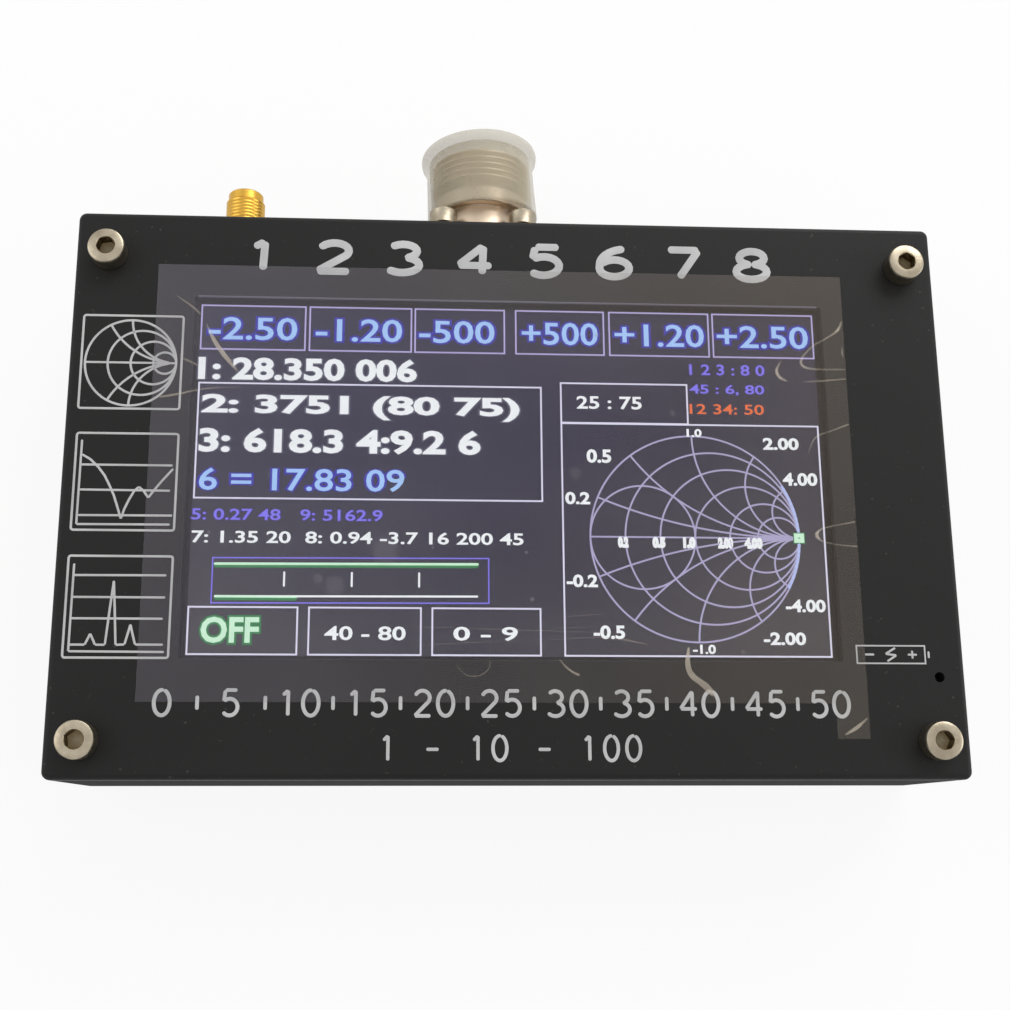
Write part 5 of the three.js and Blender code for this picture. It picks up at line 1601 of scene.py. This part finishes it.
# Haze thicker toward the top, the left and the right: painted reflection over the film's own even haze
haze_and_reflection_up = span(film_place["Y"], -12 * mm, 34 * mm, 0.034, 0.063)
painted_reflection_left = span(film_place["X"], -54 * mm, 12 * mm, 0.022, 0.0)
painted_reflection_right = span(film_place["X"], 20 * mm, 50 * mm, 0.0, 0.014)
haze_patches = math_node("MULTIPLY", film_patches, 0.011)
painted_reflection_sides = math_node("ADD", painted_reflection_left, painted_reflection_right)
film_haze_and_reflection = math_node("ADD", math_node("ADD", haze_and_reflection_up, painted_reflection_sides), haze_patches)

# Spots of air as a place, a radius and a strength, in millimetres
for spot_x, spot_y, spot_radius, spot_strength in (
    (-28.6, -14.2, 0.85, 0.045), (-26.1, -15.2, 1.7, 0.045), (-18.8, -9.8, 2.4, 0.05),
    (-12.0, -9.3, 0.3, 0.09), (1.9, -10.0, 0.35, 0.09), (2.7, -17.0, 0.4, 0.09),
    (-44.6, -7.4, 0.35, 0.08), (24.4, 11.8, 0.5, 0.06), (-36.2, 1.5, 0.4, 0.06),
    (9.4, 2.2, 1.1, 0.03), (33.5, -24.6, 0.4, 0.08), (13.1, 24.2, 0.45, 0.08),
):
    spot_place = film_tree.nodes.new("ShaderNodeVectorMath")
    spot_place.operation = "DISTANCE"
    set_socket(spot_place.inputs[0], film_object)
    set_socket(spot_place.inputs[1], (spot_x * mm, spot_y * mm, film_top))
    spot = span(spot_place.outputs["Value"], spot_radius * 0.6 * mm, spot_radius * mm, spot_strength, 0.0)
    film_haze_and_reflection = math_node("ADD", film_haze_and_reflection, spot)
# Warmer, browner toward the right: a painted reflection
film_reflection_tint = span(film_place["X"], -30 * mm, 40 * mm)
feed(
    film_shader,
    Alpha=film_haze_and_reflection,
    Base_Color=blend_colours(film_reflection_tint, linear(177, 171, 183), linear(181, 168, 155)),
    Roughness=span(film_grain["Patches"], 0.3, 0.7, 0.2, 0.24),
)
hand_in(film, "film", film_clear, "clear_film", "protective_film")

# Film creases
# Small folds in the film where it didn't lie flat: narrow raised ridges whose backs carry a light
# beige painted highlight, at both sides of the window, on the tab and as a few thin lines over the
# lower screen.
ridge_heights = (film_top, film_top + 0.05 * mm)
creases = [
    [(-51.0, 29.4, 0.15), (-49.2, 28.2, 0.32), (-48.1, 27.3, 0.4), (-47.2, 26.4, 0.3)],
    [(-46.3, 25.0, 0.2), (-45.4, 22.8, 0.7), (-43.8, 20.4, 0.85), (-42.4, 18.7, 0.7), (-41.2, 17.3, 0.25)],
    [(-49.9, 19.5, 0.25), (-48.5, 18.9, 0.4), (-47.2, 18.2, 0.25)],
    [(-52.7, 13.2, 0.35), (-50.3, 13.6, 0.45), (-47.4, 14.4, 0.3), (-44.6, 14.8, 0.22), (-40.7, 14.9, 0.1)],
    [
        (51.4, 27.1, 0.25), (51.0, 25.9, 0.6), (50.0, 25.0, 0.42), (48.4, 24.0, 0.28), (46.9, 23.2, 0.24),
        (45.9, 22.3, 0.3), (44.8, 21.1, 0.38), (44.5, 20.0, 0.5), (45.4, 19.3, 0.42), (47.5, 19.15, 0.28),
        (51.4, 19.2, 0.26),
    ],
    [(41.6, 20.5, 0.2), (40.8, 19.4, 0.48), (40.7, 18.4, 0.6), (41.4, 17.5, 0.6), (42.4, 17.2, 0.3)],
    [(44.8, 17.1, 0.15), (46.7, 17.2, 0.34), (48.7, 17.4, 0.36), (51.5, 17.7, 0.26)],
    [(51.2, 22.8, 0.15), (51.15, 22.0, 0.5), (51.2, 21.2, 0.15)],
    [(45.4, -7.0, 0.7), (45.8, -6.3, 0.4), (46.6, -5.9, 0.26), (48.8, -5.4, 0.2), (51.4, -4.9, 0.32)],
    [(45.4, -7.0, 0.7), (45.9, -7.8, 0.4), (46.5, -8.05, 0.26), (48.6, -8.5, 0.2), (51.5, -8.7, 0.32)],
    [(47.9, -36.6, 0.3), (49.4, -35.8, 0.7), (50.4, -35.0, 0.5), (51.3, -34.2, 0.3)],
    [
        (-16.5, -21.05, 0.05), (-10.8, -21.25, 0.13), (-2.1, -21.5, 0.14), (6.7, -21.7, 0.12),
        (18.4, -22.05, 0.05),
    ],
    [(-15.1, -24.05, 0.05), (-10.8, -23.65, 0.16), (-2.1, -23.2, 0.1), (6.7, -22.9, 0.05)],
    [
        (-8.5, -26.5, 0.1), (-7.7, -27.9, 0.18), (-5.9, -28.5, 0.2), (-4.2, -27.9, 0.2),
        (-3.3, -26.5, 0.16), (-3.9, -25.2, 0.08),
    ],
    [(5.2, -19.8, 0.05), (10.0, -19.3, 0.16), (15.4, -19.0, 0.05)],
    [(5.2, -21.3, 0.12), (12.3, -21.0, 0.05)],
    [(6.7, -22.9, 0.1), (12.9, -22.4, 0.14), (16.3, -22.9, 0.35), (19.4, -23.6, 0.2)],
    [
        (25.5, -24.0, 0.4), (25.1, -26.2, 0.9), (25.6, -28.0, 1.0), (26.8, -28.9, 0.9),
        (28.0, -29.8, 1.2), (28.9, -30.9, 0.8),
    ],
    [(6.5, -25.7, 0.2), (7.6, -27.5, 0.45), (9.4, -28.1, 0.4)],
    [(44.9, 5.6, 0.12), (45.4, 7.3, 0.3), (46.5, 8.6, 0.32), (48.8, 9.3, 0.26), (51.4, 10.4, 0.32)],
    [(-31.1, -25.2, 0.06), (-31.4, -28.9, 0.08)],
    [(-27.1, -24.9, 0.06), (-28.0, -28.9, 0.08)],
]
ridge_curve = round_curve(mm / 2, 2)
for crease in creases:
    ridge = ridge_curve.splines.new("NURBS")
    ridge.points.add(len(crease) - 1)
    ridge.order_u = 3
    ridge.use_endpoint_u = True
    ridge.resolution_u = 8
    for target, (x, y, width) in zip(ridge.points, crease):
        target.co = (x * mm, y * mm, 0, 1)
        target.radius = width
film_creases = press_curve(ridge_curve, ridge_heights)
crease_highlight, crease_tree, crease_shader = surface("film_crease", Specular_IOR_Level=0.5)
crease_place = object_axes(crease_tree)
crease_grain = fine_grain(crease_tree, 900.0, 260.0)
crease_patches = span(crease_grain["Patches"], 0.3, 0.7, 0.6, 1.0)
# Light beige along the ridges' backs: a painted highlight
crease_highlight_share = span(crease_place["Z"], film_top + 0.024 * mm, film_top + 0.036 * mm, 0.0, 0.42)
feed(
    crease_shader,
    Alpha=math_node("MULTIPLY", crease_highlight_share, crease_patches),
    Base_Color=blend_colours(crease_grain["Patches"], linear(226, 206, 186), linear(236, 228, 208)),
    Roughness=gloss(crease_grain, 0.2, 0.35),
)
hand_in(film_creases, "film_creases", crease_highlight, "clear_film")
